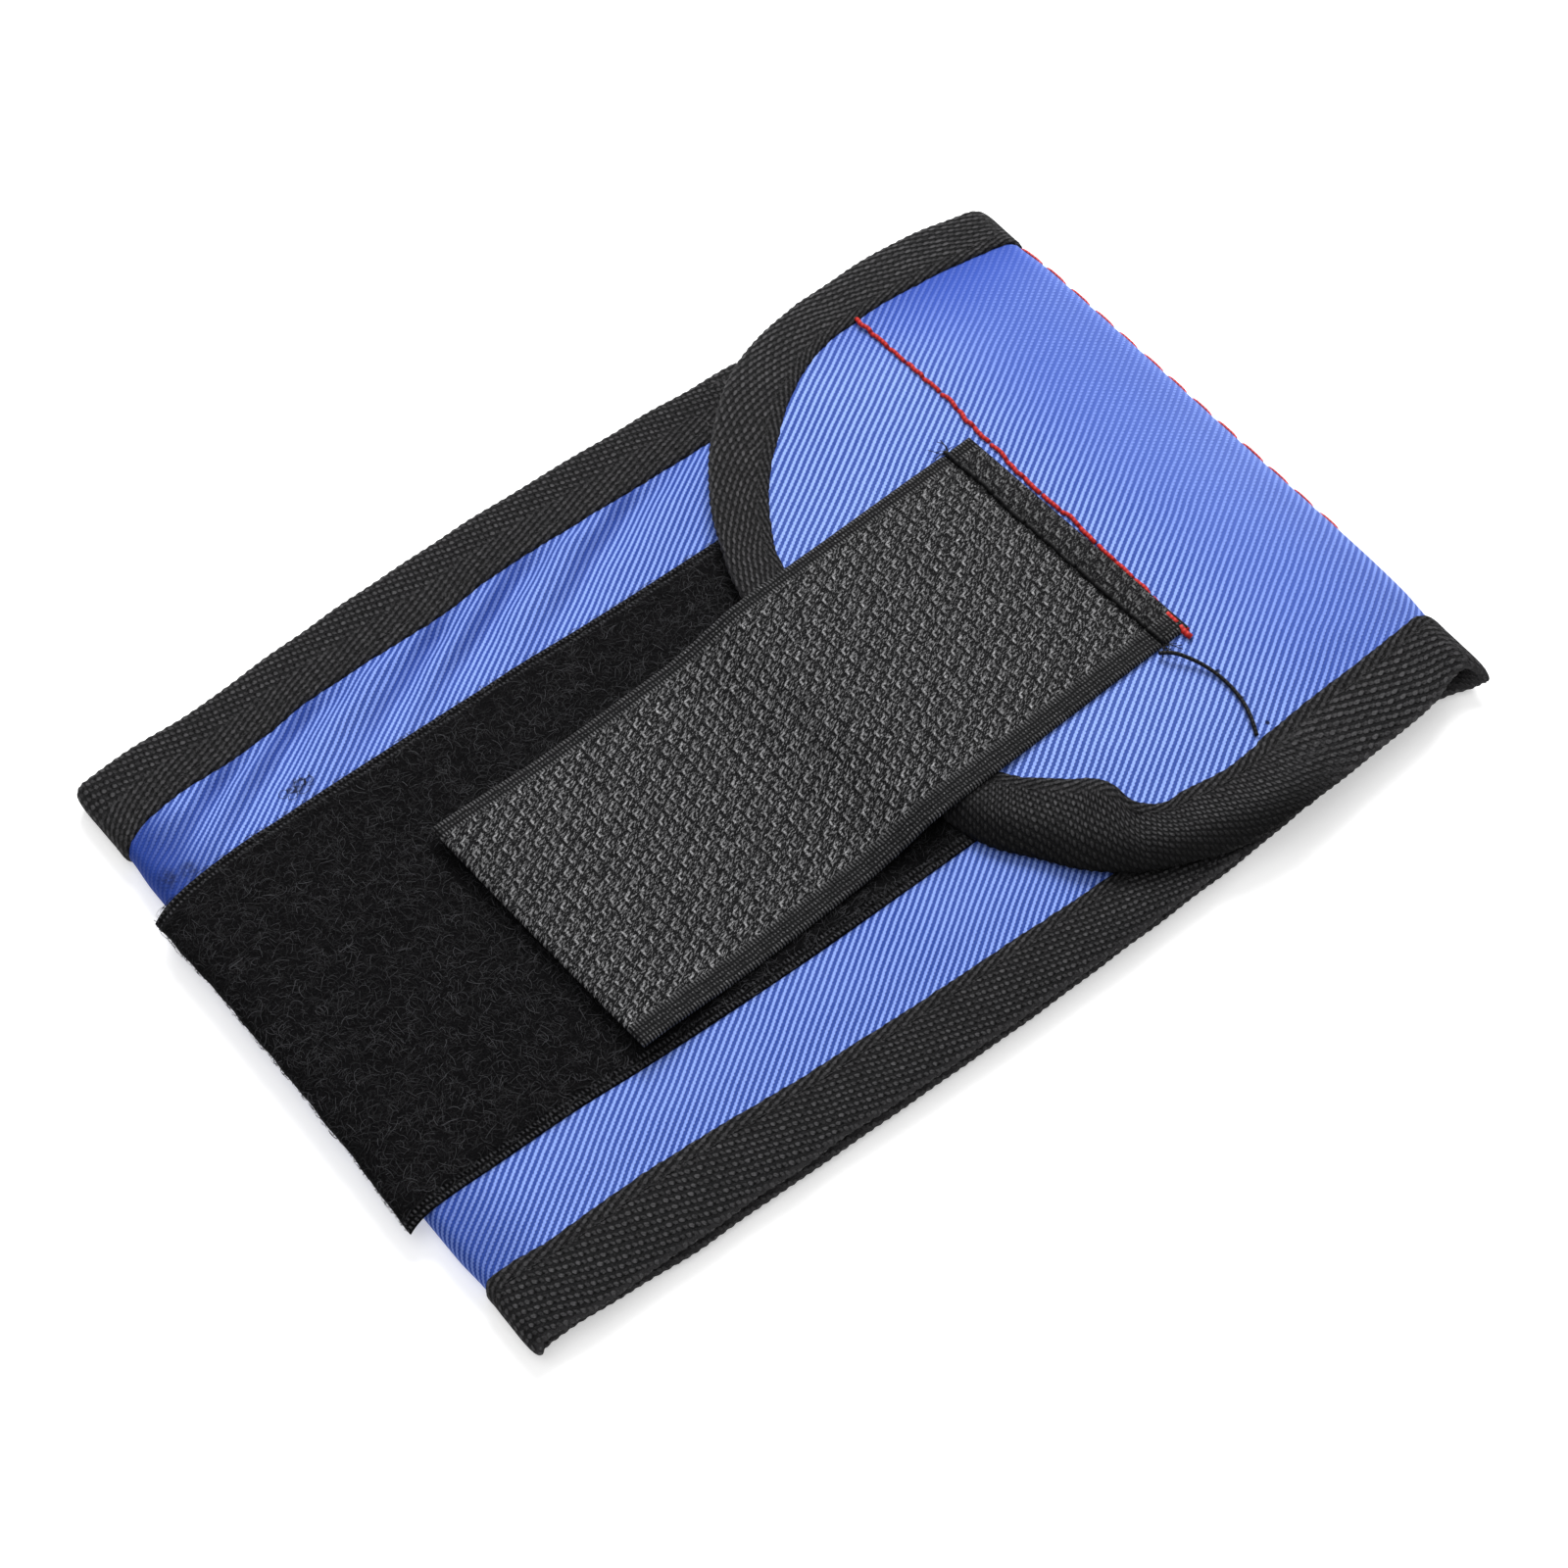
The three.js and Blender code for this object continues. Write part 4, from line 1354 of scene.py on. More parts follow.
SHEET_PARTS = {
    "tongue": ["right_fold"],
    "base_right": [],
    "base_left": [],
    "loop_panel": ["left_fold"],
}
EDGE_INSET = 2.4
TIP_INSET = 3.2
COVER_STEPS = (0.8, 0.3)
COVER_COLUMNS = 133
COVER_TUCK = 0.42
COVER_PUFF = 0.3
COVER_DIP = 0.55
COVER_UNEVEN = 0.05
TAPE_MARGIN = 0.2
LINING_STEPS = (1.6, 0.4)
LINING_COLUMNS = 67
LINING_END_INSET = 2.0
LINING_TUCK = 0.5
LINING_PUFF = 0.45
LINING_HEM = 6.5


def layer_grid(band, part, steps, columns, end_inset=0.0):
    """A grid over one part: lengths, y, and how far each point is inside the layer's edge."""
    length = stations(band, part, *steps)
    if part == "tongue":
        length = length[length > TIP_INSET]
    if part == "loop_panel" and end_inset > 0.0:
        length = length[length < band.starts[5] - end_inset]
    near, far = band.edges(length, EDGE_INSET)
    share = np.linspace(0.0, 1.0, columns)
    across = near[:, None] + (far - near)[:, None] * share
    inside = np.minimum(across - near[:, None], far[:, None] - across)
    return np.broadcast_to(length[:, None], across.shape), across, inside


def inside_tape(band, part, length, across):
    """How far a place on the cloth is inside the tape's inner edge, in mm; less than 0 under the tape."""
    if part == "tongue":
        line, width, _ = band.tape_line("tongue", "round", PATH_STEP)
        away = np.hypot(length[..., None] - line[:, 0], across[..., None] - line[:, 1])
        nearest = away.argmin(axis=-1)
        return away.min(axis=-1) - width[nearest] - TAPE_MARGIN
    row = length[:, 0]
    near = smooth_through(*band.near_edge, row) + smooth_through(*band.near_width, row) + TAPE_MARGIN
    far = smooth_through(*band.far_edge, row) - smooth_through(*band.far_width, row) - TAPE_MARGIN
    inside = np.minimum(across - near[:, None], far[:, None] - across)
    if part == "loop_panel":
        inside = np.minimum(inside, band.starts[5] - END_TAPE_WIDTH - length)
    return inside


def cover_depth(band, length, across, inside):
    """How far the cover lies under the tape's face: puffed in the middle, drawn down at the tape."""
    depth = COVER_TUCK - COVER_PUFF * ease(0.0, 5.0, inside) + COVER_DIP * ease(0.6, 3.0, -inside)
    depth += COVER_UNEVEN * slow_noise(3, length, across, 26.0)
    x = band.left_turn + length - band.starts[4]
    on_loop = ease(0.0, 3.0, length - band.starts[4])
    beside = across * math.cos(FAR_FOLD_ANGLE) - x * math.sin(FAR_FOLD_ANGLE)
    beside = beside + 0.5 * slow_noise(4, x, across, 9.0)
    keys = np.array(FAR_FOLDS)[::-1]
    folds = smooth_through(keys[:, 0], keys[:, 1], np.clip(beside, keys[0, 0], keys[-1, 0]))
    amount = band.crease * (0.25 + 0.75 * ease(27.0, 36.0, across)) * ease(24.0, 27.0, across)
    return depth - on_loop * ease(0.0, 2.0, inside) * amount * folds


class WRISTBAND_OT_cover(bpy.types.Operator):
    """Lay the blue twill cover over the outside of the band"""

    bl_idname = "wristband.cover"
    bl_label = "Cover"

    def execute(self, context):
        band = Band(context.scene.wristband_sizes)
        finish = shared_finish("blue_twill", twill_finish, context)
        for part in band.parts:
            lengths, across, _ = layer_grid(band, part, COVER_STEPS, COVER_COLUMNS)
            inside = inside_tape(band, part, lengths, across)
            depth = cover_depth(band, lengths, across, inside)
            points = band.place(lengths, across, depth)
            cloth = band.weave(lengths, across)
            faces = grid_faces(*across.shape)
            piece = add_piece(f"cover_{part}", points, faces, cloth, finish, "cover_twill")
            bend_with(piece, band, part, part_nodes(part, "cover"))
        return {"FINISHED"}


class WRISTBAND_OT_lining(bpy.types.Operator):
    """Lay the knitted lining inside the band"""

    bl_idname = "wristband.lining"
    bl_label = "Lining"

    def execute(self, context):
        band = Band(context.scene.wristband_sizes)
        finish = shared_finish("knit_lining", lining_finish, context)
        for part in band.parts:
            lengths, across, inside = layer_grid(band, part, LINING_STEPS, LINING_COLUMNS, LINING_END_INSET)
            depth = LINING_DEPTH - LINING_TUCK + LINING_PUFF * ease(0.0, 4.0, inside - LINING_HEM)
            points = band.place(lengths, across, depth * band.crush(lengths))
            cloth = joined(lengths, across)
            faces = grid_faces(*across.shape)[:, ::-1]
            piece = add_piece(f"lining_{part}", points, faces, cloth, finish, "mesh_lining")
            bend_with(piece, band, part, part_nodes(part, "mesh"))
        return {"FINISHED"}


# Section of a tape: share of its width from the inner edge, and depth, first over the face and then under it

TAPE_FACE = (
    (0.0, 0.47), (0.012, 0.24), (0.035, 0.08), (0.08, 0.0), (0.15, 0.01), (0.19, 0.04), (0.24, 0.02),
    (0.32, -0.01), (0.4, -0.02), (0.48, -0.03), (0.57, -0.04), (0.68, -0.06), (0.78, -0.04),
    (0.86, 0.02), (0.915, 0.11), (0.955, 0.24), (0.985, 0.46), (1.0, 0.8),
)
TAPE_BACK = (
    (0.985, 1.12), (0.95, 1.35), (0.88, 1.5), (0.75, 1.58), (0.58, 1.57), (0.4, 1.55), (0.19, 1.5),
    (0.1, 1.57), (0.02, 1.56), (0.0, 1.36),
)
SECTION_DEPTH = 1.6
SECTION_WIDTH = 9.0
STITCH_SHARE = 0.19
STITCH_ROW = 0.035
STITCH_DENT = 0.1
STITCH_DENT_SHARPNESS = 6
END_TAPE_WIDTH = 9.5
END_TAPE_STEP = 0.5
TAPE_STEP = 0.24
TAPE_WANDER = (0.07, 9.0)
TAPE_FRAY = (0.07, 0.8)
TAPE_RIPPLE = (0.07, 1.2)
TAPE_EDGE_WANDER = (0.1, 8.0)
TAPE_SWELL = (0.06, 7.0)
TAPE_SEED = 40
END_TAPE_SEED = 90
CORNER_CURL = 1.5
SPLIT_SPAN = (-6.0, 8.0)
OUTWARD_REACH = 12


def outward_of(band, line):
    """The way out of the cloth along its edge: square to the long edges, and to the curve of the tip."""
    run = unit(np.gradient(line, axis=0))
    curved = joined(-run[:, 1], run[:, 0])
    square = joined(0.0 * run[:, 0], np.where(line[:, 1] < 0.0, -1.0, 1.0))
    split = band.length_at("tongue", TONGUE_END[0][0])
    share = ease(split + SPLIT_SPAN[0], split + SPLIT_SPAN[1], line[:, 0])[:, None]
    if np.ptp(line[:, 0]) < 1e-6:
        return curved
    outward = curved * (1.0 - share) + square * share
    padded = np.pad(outward, ((OUTWARD_REACH, OUTWARD_REACH), (0, 0)), mode="edge")
    steps = np.cumsum(np.concatenate([np.zeros((1, 2)), padded]), axis=0)
    outward = steps[2 * OUTWARD_REACH + 1 :] - steps[: -2 * OUTWARD_REACH - 1]
    return unit(outward)


def tape_shape(band, line, width, along, seed, stitch):
    """A tape folded round an edge: points, faces and cloth coordinates."""
    outward = outward_of(band, line)
    section = np.array(TAPE_FACE + TAPE_BACK)
    share, depth = section[:, 0], section[:, 1] * TAPE_DEPTH / SECTION_DEPTH
    face = (np.arange(len(share)) < len(TAPE_FACE)).astype(float)
    reach = width + waver(seed, along, *TAPE_WANDER) + waver(seed + 5, along, *TAPE_FRAY)
    edge_wave = TAPE_RIPPLE[0] * np.cos(along * 2.0 * math.pi / TAPE_RIPPLE[1])
    edge_wave = edge_wave + waver(seed + 1, along, *TAPE_EDGE_WANDER)
    inset = (1.0 - share)[None, :] * reach[:, None] - edge_wave[:, None] * ease(0.8, 1.0, share)[None, :]
    length = line[:, 0, None] - outward[:, 0, None] * inset
    across = line[:, 1, None] - outward[:, 1, None] * inset
    hole = np.abs(np.cos(along * math.pi / stitch)) ** STITCH_DENT_SHARPNESS
    row = np.exp(-(((share - STITCH_SHARE) / STITCH_ROW) ** 2)) * face
    depths = depth[None, :] + STITCH_DENT * hole[:, None] * row
    swell = waver(seed + 2, along, *TAPE_SWELL)
    depths = depths - swell[:, None] * (face * np.sin(math.pi * share))
    x = TONGUE_TIP + length
    on_tongue = length < band.starts[1]
    off_x = (x - PUCKER_PEAK[0]) / PUCKER_REACH[0]
    off_y = (across - PUCKER_PEAK[1]) / PUCKER_REACH[1]
    peak = np.exp(-(off_x**2) - off_y**2)
    crease = line_field(x, across, *PUCKER_CREASE, PUCKER_CREASE_REACH)
    depths = depths - on_tongue * face * (peak - PUCKER_CREASE_DEPTH * crease)
    corner = on_tongue * ease(-14.0, -25.0, across) * ease(42.0, 30.0, x)
    depths = depths + CORNER_CURL * corner * (ease(0.5, 1.0, share) ** 1.5)[None, :]
    points = band.place(length, across, depths * band.crush(length))
    steps = np.linalg.norm(np.diff(section * np.array([SECTION_WIDTH, 1.0]), axis=0), axis=1)
    t = np.concatenate([[0.0], np.cumsum(steps)])
    cloth = joined(along[:, None], t[None, :])
    return points, grid_faces(*length.shape), cloth


def tape_pieces(band):
    """Every tape: its name, part, side and the solids that it stands for."""
    yield "binding_tongue", "tongue", "round", ["tongue_binding"]
    for part in band.parts:
        if part == "tongue":
            continue
        for side in ("near", "far"):
            yield f"binding_{part}_{side}", part, side, part_nodes(part, f"binding_{side}")


class WRISTBAND_OT_binding(bpy.types.Operator):
    """Fold the black tape round every edge of the band"""

    bl_idname = "wristband.binding"
    bl_label = "Binding"

    def execute(self, context):
        sizes = context.scene.wristband_sizes
        band = Band(sizes)
        finish = shared_finish("edge_tape", tape_finish, context)
        stitch = sizes.stitch_length / MM
        made = {}
        for name, part, side, nodes in tape_pieces(band):
            line, width, along = band.tape_line(part, side, TAPE_STEP)
            shape = tape_shape(band, line, width, along, TAPE_SEED, stitch)
            piece = add_piece(name, *shape, finish, "binding_tape")
            bend_with(piece, band, part, nodes)
            made[part, side] = (piece, shape[2])
        rows = np.arange(BAND_HALF, -BAND_HALF - 0.1, -END_TAPE_STEP)
        line = joined(np.full(len(rows), band.starts[5]), rows)
        width = np.full(len(rows), END_TAPE_WIDTH)
        shape = tape_shape(band, line, width, lengths_along(line), END_TAPE_SEED, stitch)
        piece = add_piece("binding_loop_panel_end", *shape, finish, "binding_tape")
        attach(piece, "loop_panel")
        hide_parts("loop_panel_binding_end")
        made["loop_panel", "end"] = (piece, shape[2])
        for (part, side), (piece, cloth) in made.items():
            if part not in SHEET_PARTS:
                continue
            sides = ("near", "far") if side == "round" else (side,)
            keys = [(name, each) for name in SHEET_PARTS[part] for each in sides]
            beside = [made[key][0] for key in keys if key in made]
        return {"FINISHED"}


# Lines of stitches on the cloth: their steps, depths and the depth that gives the way out

SEAM_STEP = 0.3
SEAM_PROBE = 0.6
BINDING_PROBE = 0.5
BINDING_SEAM_DEPTH = 0.16
BINDING_THREAD = 0.1


def seam_line(band, length, across, depth, probe=SEAM_PROBE):
    """A sewing line at a depth under the face, and the way out of the cloth along it."""
    line = band.place(length, across, depth)
    return line, line - band.place(length, across, probe)


class WRISTBAND_OT_binding_stitches(bpy.types.Operator):
    """Sew the rows of black stitches along the binding"""

    bl_idname = "wristband.binding_stitches"
    bl_label = "Binding stitches"

    def execute(self, context):
        sizes = context.scene.wristband_sizes
        band = Band(sizes)
        draw = np.random.default_rng(sizes.seed)
        finish = shared_finish("black_sewing_thread", black_thread_finish, context)
        for name, part, side, _ in tape_pieces(band):
            line, width, _ = band.tape_line(part, side, SEAM_STEP)
            places = line - outward_of(band, line) * (width * (1.0 - STITCH_SHARE))[:, None]
            seam = seam_line(band, places[:, 0], places[:, 1], BINDING_SEAM_DEPTH, BINDING_PROBE)
            shape = stitches(*seam, sizes.stitch_length / MM, BINDING_THREAD, draw, 0.2, 0.1)
            piece = add_piece(name.replace("binding", "stitches"), *shape, finish, "black_thread")
            bend_with(piece, band, part)
        return {"FINISHED"}


# The loop strip: where it bends down past the left fold, its cut end, its section and its fibres

STRIP_BEND = -66.5
STRIP_BEND_RADIUS = 5.0
STRIP_SINK = 0.1
STRIP_TIP = -69.85
STRIP_TIP_BOW = 0.6
STRIP_TIP_HALF = 23.0
STRIP_TIP_FRAY = (0.12, 5.0)
STRIP_WIDTH = 50.0
STRIP_ROWS = 170
STRIP_COLUMNS = 150
STRIP_CUT = -68.0
STRIP_RIM = 0.12
STRIP_GROUND = 0.25
STRIP_SELVAGE = (0.9, 2.0)
PILE_THICK = 0.3
PILE_CLUMPS = (0.07, 3.2)
PILE_TUFTS = (0.04, 1.3)
FIBRE_END = 14.0
FIBRE_SPREAD = 49.0
FIBRE_MARGIN = 0.4
FIBRE_ROOT = 0.3
FIBRE_LENGTHS = (0.7, 2.4)
FIBRE_RISES = (0.2, 1.0)
FIBRE_CURL = 1.6
FIBRE_WIDTHS = (0.016, 0.034)
FIBRE_SHADES = (0.9, 3.6)
FIBRE_STEPS = 6
FRINGE_SHARE = 30
FRINGE_RUN = 0.6
FRINGE_LENGTH = 0.16
FRINGE_SPREAD = 0.7
FRINGE_HEIGHTS = (0.05, 0.6)


def strip_place(x, y, height):
    """A point of the loop strip: flat on its panel, drooping past the left fold; x is measured along it."""
    x, y, height = alike(x, y, height)
    past = np.maximum(0.0, STRIP_BEND - x)
    turn = past / STRIP_BEND_RADIUS
    sine, cosine = np.sin(turn), np.cos(turn)
    base = LOOP_TOP - STRIP_SINK
    along = np.maximum(x, STRIP_BEND) - STRIP_BEND_RADIUS * sine - height * sine
    return joined(along, y, base - STRIP_BEND_RADIUS * (1.0 - cosine) + height * cosine)


def strip_tip(y):
    """Where the strip's cut end is, measured along it."""
    return STRIP_TIP - STRIP_TIP_BOW * (y / STRIP_TIP_HALF) ** 2 + waver(21, y, *STRIP_TIP_FRAY)


def strip_edges(x):
    """Near and far y of the loop strip."""
    near = smooth_through(*zip(*STRIP_NEAR_EDGE), x)
    far = smooth_through(*zip(*STRIP_FAR_EDGE), x)
    return near, far


def pile_top(x, y):
    """Height of the pile over the strip's selvages."""
    clumps = PILE_CLUMPS[0] * slow_noise(31, x, y, PILE_CLUMPS[1])
    tufts = PILE_TUFTS[0] * slow_noise(32, x, y, PILE_TUFTS[1])
    return PILE_THICK + clumps + tufts


class WRISTBAND_OT_loop_strip(bpy.types.Operator):
    """Sew on the loop strip: ground cloth, ribbed selvages and brushed pile"""

    bl_idname = "wristband.loop_strip"
    bl_label = "Loop strip"

    def execute(self, context):
        sizes = context.scene.wristband_sizes
        band = Band(sizes)
        draw = np.random.default_rng(sizes.seed + 1)
        share_x = np.linspace(0.0, 1.0, STRIP_ROWS)
        share_y = np.linspace(0.0, 1.0, STRIP_COLUMNS)
        cut_near, cut_far = strip_edges(np.full(STRIP_COLUMNS, STRIP_CUT))
        tip = strip_tip(cut_near + (cut_far - cut_near) * share_y)
        x = tip[None, :] + (STRIP_END - tip)[None, :] * share_x[:, None]
        near, far = strip_edges(x[:, STRIP_COLUMNS // 2])
        y = near[:, None] + (far - near)[:, None] * share_y
        inside = np.minimum(y - near[:, None], far[:, None] - y)
        full = ease(*STRIP_SELVAGE, inside)
        brim = ease(0.0, 0.35, inside) * ease(0.0, 0.4, x - tip[None, :])
        top = STRIP_RIM + STRIP_GROUND * brim + full * brim * pile_top(x, y)
        cloth = joined(x, (share_y - 0.5) * STRIP_WIDTH)
        shape = slab(strip_place(x, y, top), strip_place(x, y, 0.0), cloth)
        finish = shared_finish("brushed_pile", pile_finish, context)
        piece = add_piece("loop_strip_cloth", *shape, finish, "loop_pile")
        bend_with(piece, band, "loop_panel", ["loop_strip", "loop_strip_end"])
        fibres = self.fibres(context, band, sizes, draw)
        return {"FINISHED"}

    def fibres(self, context, band, sizes, draw):
        """Scatter the curled fibres of the pile, and a fringe along the cut end."""
        count = sizes.pile_count
        fringe = count // FRINGE_SHARE
        total = count + fringe
        share = draw.uniform(0.0, 1.0, total)
        tip = strip_tip((share - 0.5) * FIBRE_SPREAD)
        x = tip + FIBRE_ROOT + draw.uniform(0.0, 1.0, total) * (FIBRE_END - tip)
        x[count:] = tip[count:] + draw.uniform(0.0, FRINGE_RUN, fringe)
        near, far = strip_edges(x)
        y = near + FIBRE_MARGIN + (far - near - 2.0 * FIBRE_MARGIN) * share
        inside = np.minimum(y - near, far - y)
        reach = draw.uniform(*FIBRE_LENGTHS, total)
        reach[count:] *= FRINGE_LENGTH
        rise = sizes.pile_height / MM * draw.uniform(*FIBRE_RISES, total)
        heading = draw.uniform(0.0, 2.0 * math.pi, total)
        heading[count:] = math.pi + draw.normal(0.0, FRINGE_SPREAD, fringe)
        curl = draw.normal(0.0, FIBRE_CURL, total)
        width = draw.uniform(*FIBRE_WIDTHS, total)
        shade = draw.beta(*FIBRE_SHADES, total)
        base = FIBRE_ROOT + ease(*STRIP_SELVAGE, inside) * pile_top(x, y)
        base[count:] = draw.uniform(*FRINGE_HEIGHTS, fringe)
        t = np.linspace(0.0, 1.0, FIBRE_STEPS)
        turn = heading[:, None] + curl[:, None] * (t[None, :] - 0.5)
        along = reach[:, None] / (FIBRE_STEPS - 1)
        px = x[:, None] + np.cumsum(np.cos(turn) * along, axis=1)
        py = y[:, None] + np.cumsum(np.sin(turn) * along, axis=1)
        px = np.maximum(px, tip[:, None] + 0.15 - 0.1 * shade[:, None])
        py = np.clip(py, near[:, None] - 0.05, far[:, None] + 0.05)
        height = base[:, None] + rise[:, None] * np.sin(math.pi * t)[None, :]
        side_x = -np.sin(turn) * width[:, None]
        side_y = np.cos(turn) * width[:, None]
        left = strip_place(px + side_x, py + side_y, height)
        right = strip_place(px - side_x, py - side_y, height)
        points = np.stack([left, right], axis=2).reshape(-1, 3)
        first = (np.arange(total) * FIBRE_STEPS * 2)[:, None] + (np.arange(FIBRE_STEPS - 1) * 2)[None, :]
        faces = joined(first, first + 1, first + 3, first + 2).reshape(-1, 4)
        ends = np.repeat(t, 2).reshape(1, FIBRE_STEPS, 2)
        cloth = joined(shade[:, None, None], ends)
        finish = shared_finish("pile_fibre", fibre_finish, context)
        piece = add_piece("loop_strip_fibres", points, faces, cloth, finish, "loop_pile")
        bend_with(piece, band, "loop_panel")
        return piece


# The hook strap: u runs from its seam towards the free end and v across it; gaps are by x along its middle

STRAP_TAIL = 3.9
STRAP_REACH = 80.0
STRAP_HALF = 19.1
STRAP_THICK = 0.6
STRAP_ROWS = 240
STRAP_COLUMNS = 120
STRAP_RIM = 0.22
STRAP_RIM_WIDTH = 0.4
STRAP_DENT = 0.26
STRAP_DENT_WIDTH = 0.8
STRAP_END_LIFT = 1.3
STRAP_LIFT_RUN = 18.0
GAPS_OVER_STRIP = ((-45.0, 0.12), (-8.0, 0.12), (-4.0, 0.22), (1.0, 1.15))
GAPS_OVER_TONGUE = (
    (5.5, -0.12), (9.5, 0.12), (14.0, 0.1), (20.0, -0.02), (28.0, -0.02), (35.0, -0.02), (41.5, -0.06),
    (47.0, 0.0),
)
HOOK_BEND = np.array(((0.0, 0.0), (0.0, -0.25), (0.05, -0.42), (0.2, -0.5), (0.34, -0.42), (0.36, -0.3)))
HOOK_RADIUS = np.array((0.11, 0.1, 0.09, 0.08, 0.07, 0.05))
HOOK_START = 4.0
HOOK_END = STRAP_REACH - 1.0
HOOK_NEAR = -15.5
HOOK_FAR = 16.5
HOOK_SINK = 0.02
HOOK_SPIN = 0.25


def strap_height(band, x):
    """Height of the strap's underside where its middle line crosses an x."""
    keys = [(at, STRIP_TOP + gap) for at, gap in GAPS_OVER_STRIP]
    keys += [(at, float(band.tongue_height(at, 0.0)) + gap) for at, gap in GAPS_OVER_TONGUE]
    return smooth_through(*zip(*keys), x)


def strap_place(band, u, v, lift):
    """A point of the strap, in mm."""
    u, v, lift = alike(u, v, lift)
    x = STRAP_SEAM[0] - u * math.cos(STRAP_SKEW) - v * math.sin(STRAP_SKEW)
    y = STRAP_SEAM[1] - u * math.sin(STRAP_SKEW) + v * math.cos(STRAP_SKEW)
    cup = 0.65 + 0.35 * (v / STRAP_HALF) ** 2
    end_lift = STRAP_END_LIFT * ease(STRAP_REACH - STRAP_LIFT_RUN, STRAP_REACH, u) * cup
    return joined(x, y, strap_height(band, x) + end_lift + lift)


class WRISTBAND_OT_hook_strap(bpy.types.Operator):
    """Sew on the hook strap with its hooks underneath"""

    bl_idname = "wristband.hook_strap"
    bl_label = "Hook strap"

    def execute(self, context):
        sizes = context.scene.wristband_sizes
        band = Band(sizes)
        u = np.linspace(-STRAP_TAIL, STRAP_REACH, STRAP_ROWS)[:, None]
        v = np.linspace(-STRAP_HALF, STRAP_HALF, STRAP_COLUMNS)[None, :]
        edge = np.minimum(STRAP_HALF - np.abs(v), np.minimum(u + STRAP_TAIL, STRAP_REACH - u))
        crown = STRAP_THICK - STRAP_RIM * (1.0 - ease(0.0, STRAP_RIM_WIDTH, edge))
        seam = STRAP_DENT * np.exp(-((u / STRAP_DENT_WIDTH) ** 2))
        upper = strap_place(band, u, v, crown - seam)
        lower = strap_place(band, u, v, 0.0)
        shape = slab(upper, lower, joined(u, v), flipped=True)
        finish = shared_finish("strap_weave", strap_finish, context)
        piece = add_piece("hook_strap_cloth", *shape, finish, "hook_tape")
        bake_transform(piece)
        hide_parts("hook_strap", "hook_strap_tail")
        hooks = self.hooks(context, band, sizes)
        return {"FINISHED"}

    def hooks(self, context, band, sizes):
        """Small hooks in staggered rows under the free part of the strap."""
        pitch = sizes.hook_pitch / MM
        draw = np.random.default_rng(sizes.seed + 2)
        shapes = []
        for row, u in enumerate(np.arange(HOOK_START, HOOK_END, pitch)):
            way = 1.0 if row % 2 else -1.0
            for v in np.arange(HOOK_NEAR + 0.5 * pitch * (row % 2), HOOK_FAR, pitch):
                root = strap_place(band, u, v, HOOK_SINK)
                spin = draw.normal(0.0, HOOK_SPIN)
                x = root[0] + way * HOOK_BEND[:, 0] * math.cos(spin)
                y = root[1] + HOOK_BEND[:, 0] * math.sin(spin)
                path = joined(x, y, root[2] + HOOK_BEND[:, 1])
                shapes.append(tube(path, HOOK_RADIUS, FINE_SIDES))
        finish = shared_finish("hook_nylon", hook_finish, context)
        piece = add_piece("hook_strap_hooks", *merged(shapes), finish, "hook_tape")
        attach(piece, "hook_strap")
        return piece


# Seams: where they run, the steps of their lines and their stitches

SEAM_SLACK = 0.22
TONGUE_SEAM = 45.8
TONGUE_SEAM_Y = (41.2, -22.0, -0.4)
TONGUE_SEAM_BOW = 0.5
TACK = 45.6
TACK_Y = (-17.8, -22.6, -0.3)
TACK_STITCH = 2.4
TACK_THICKNESS = 1.35
FOLD_THREAD = 0.55
FOLD_STRANDS = ((0.15, 13), (0.12, 11))
FOLD_STRAND_POINTS = 13
BASE_SEAM_Y = (39.0, -39.0, -0.5)
STRAP_THREAD = 0.34
STRAP_SEAM_OVERHANG = 0.3


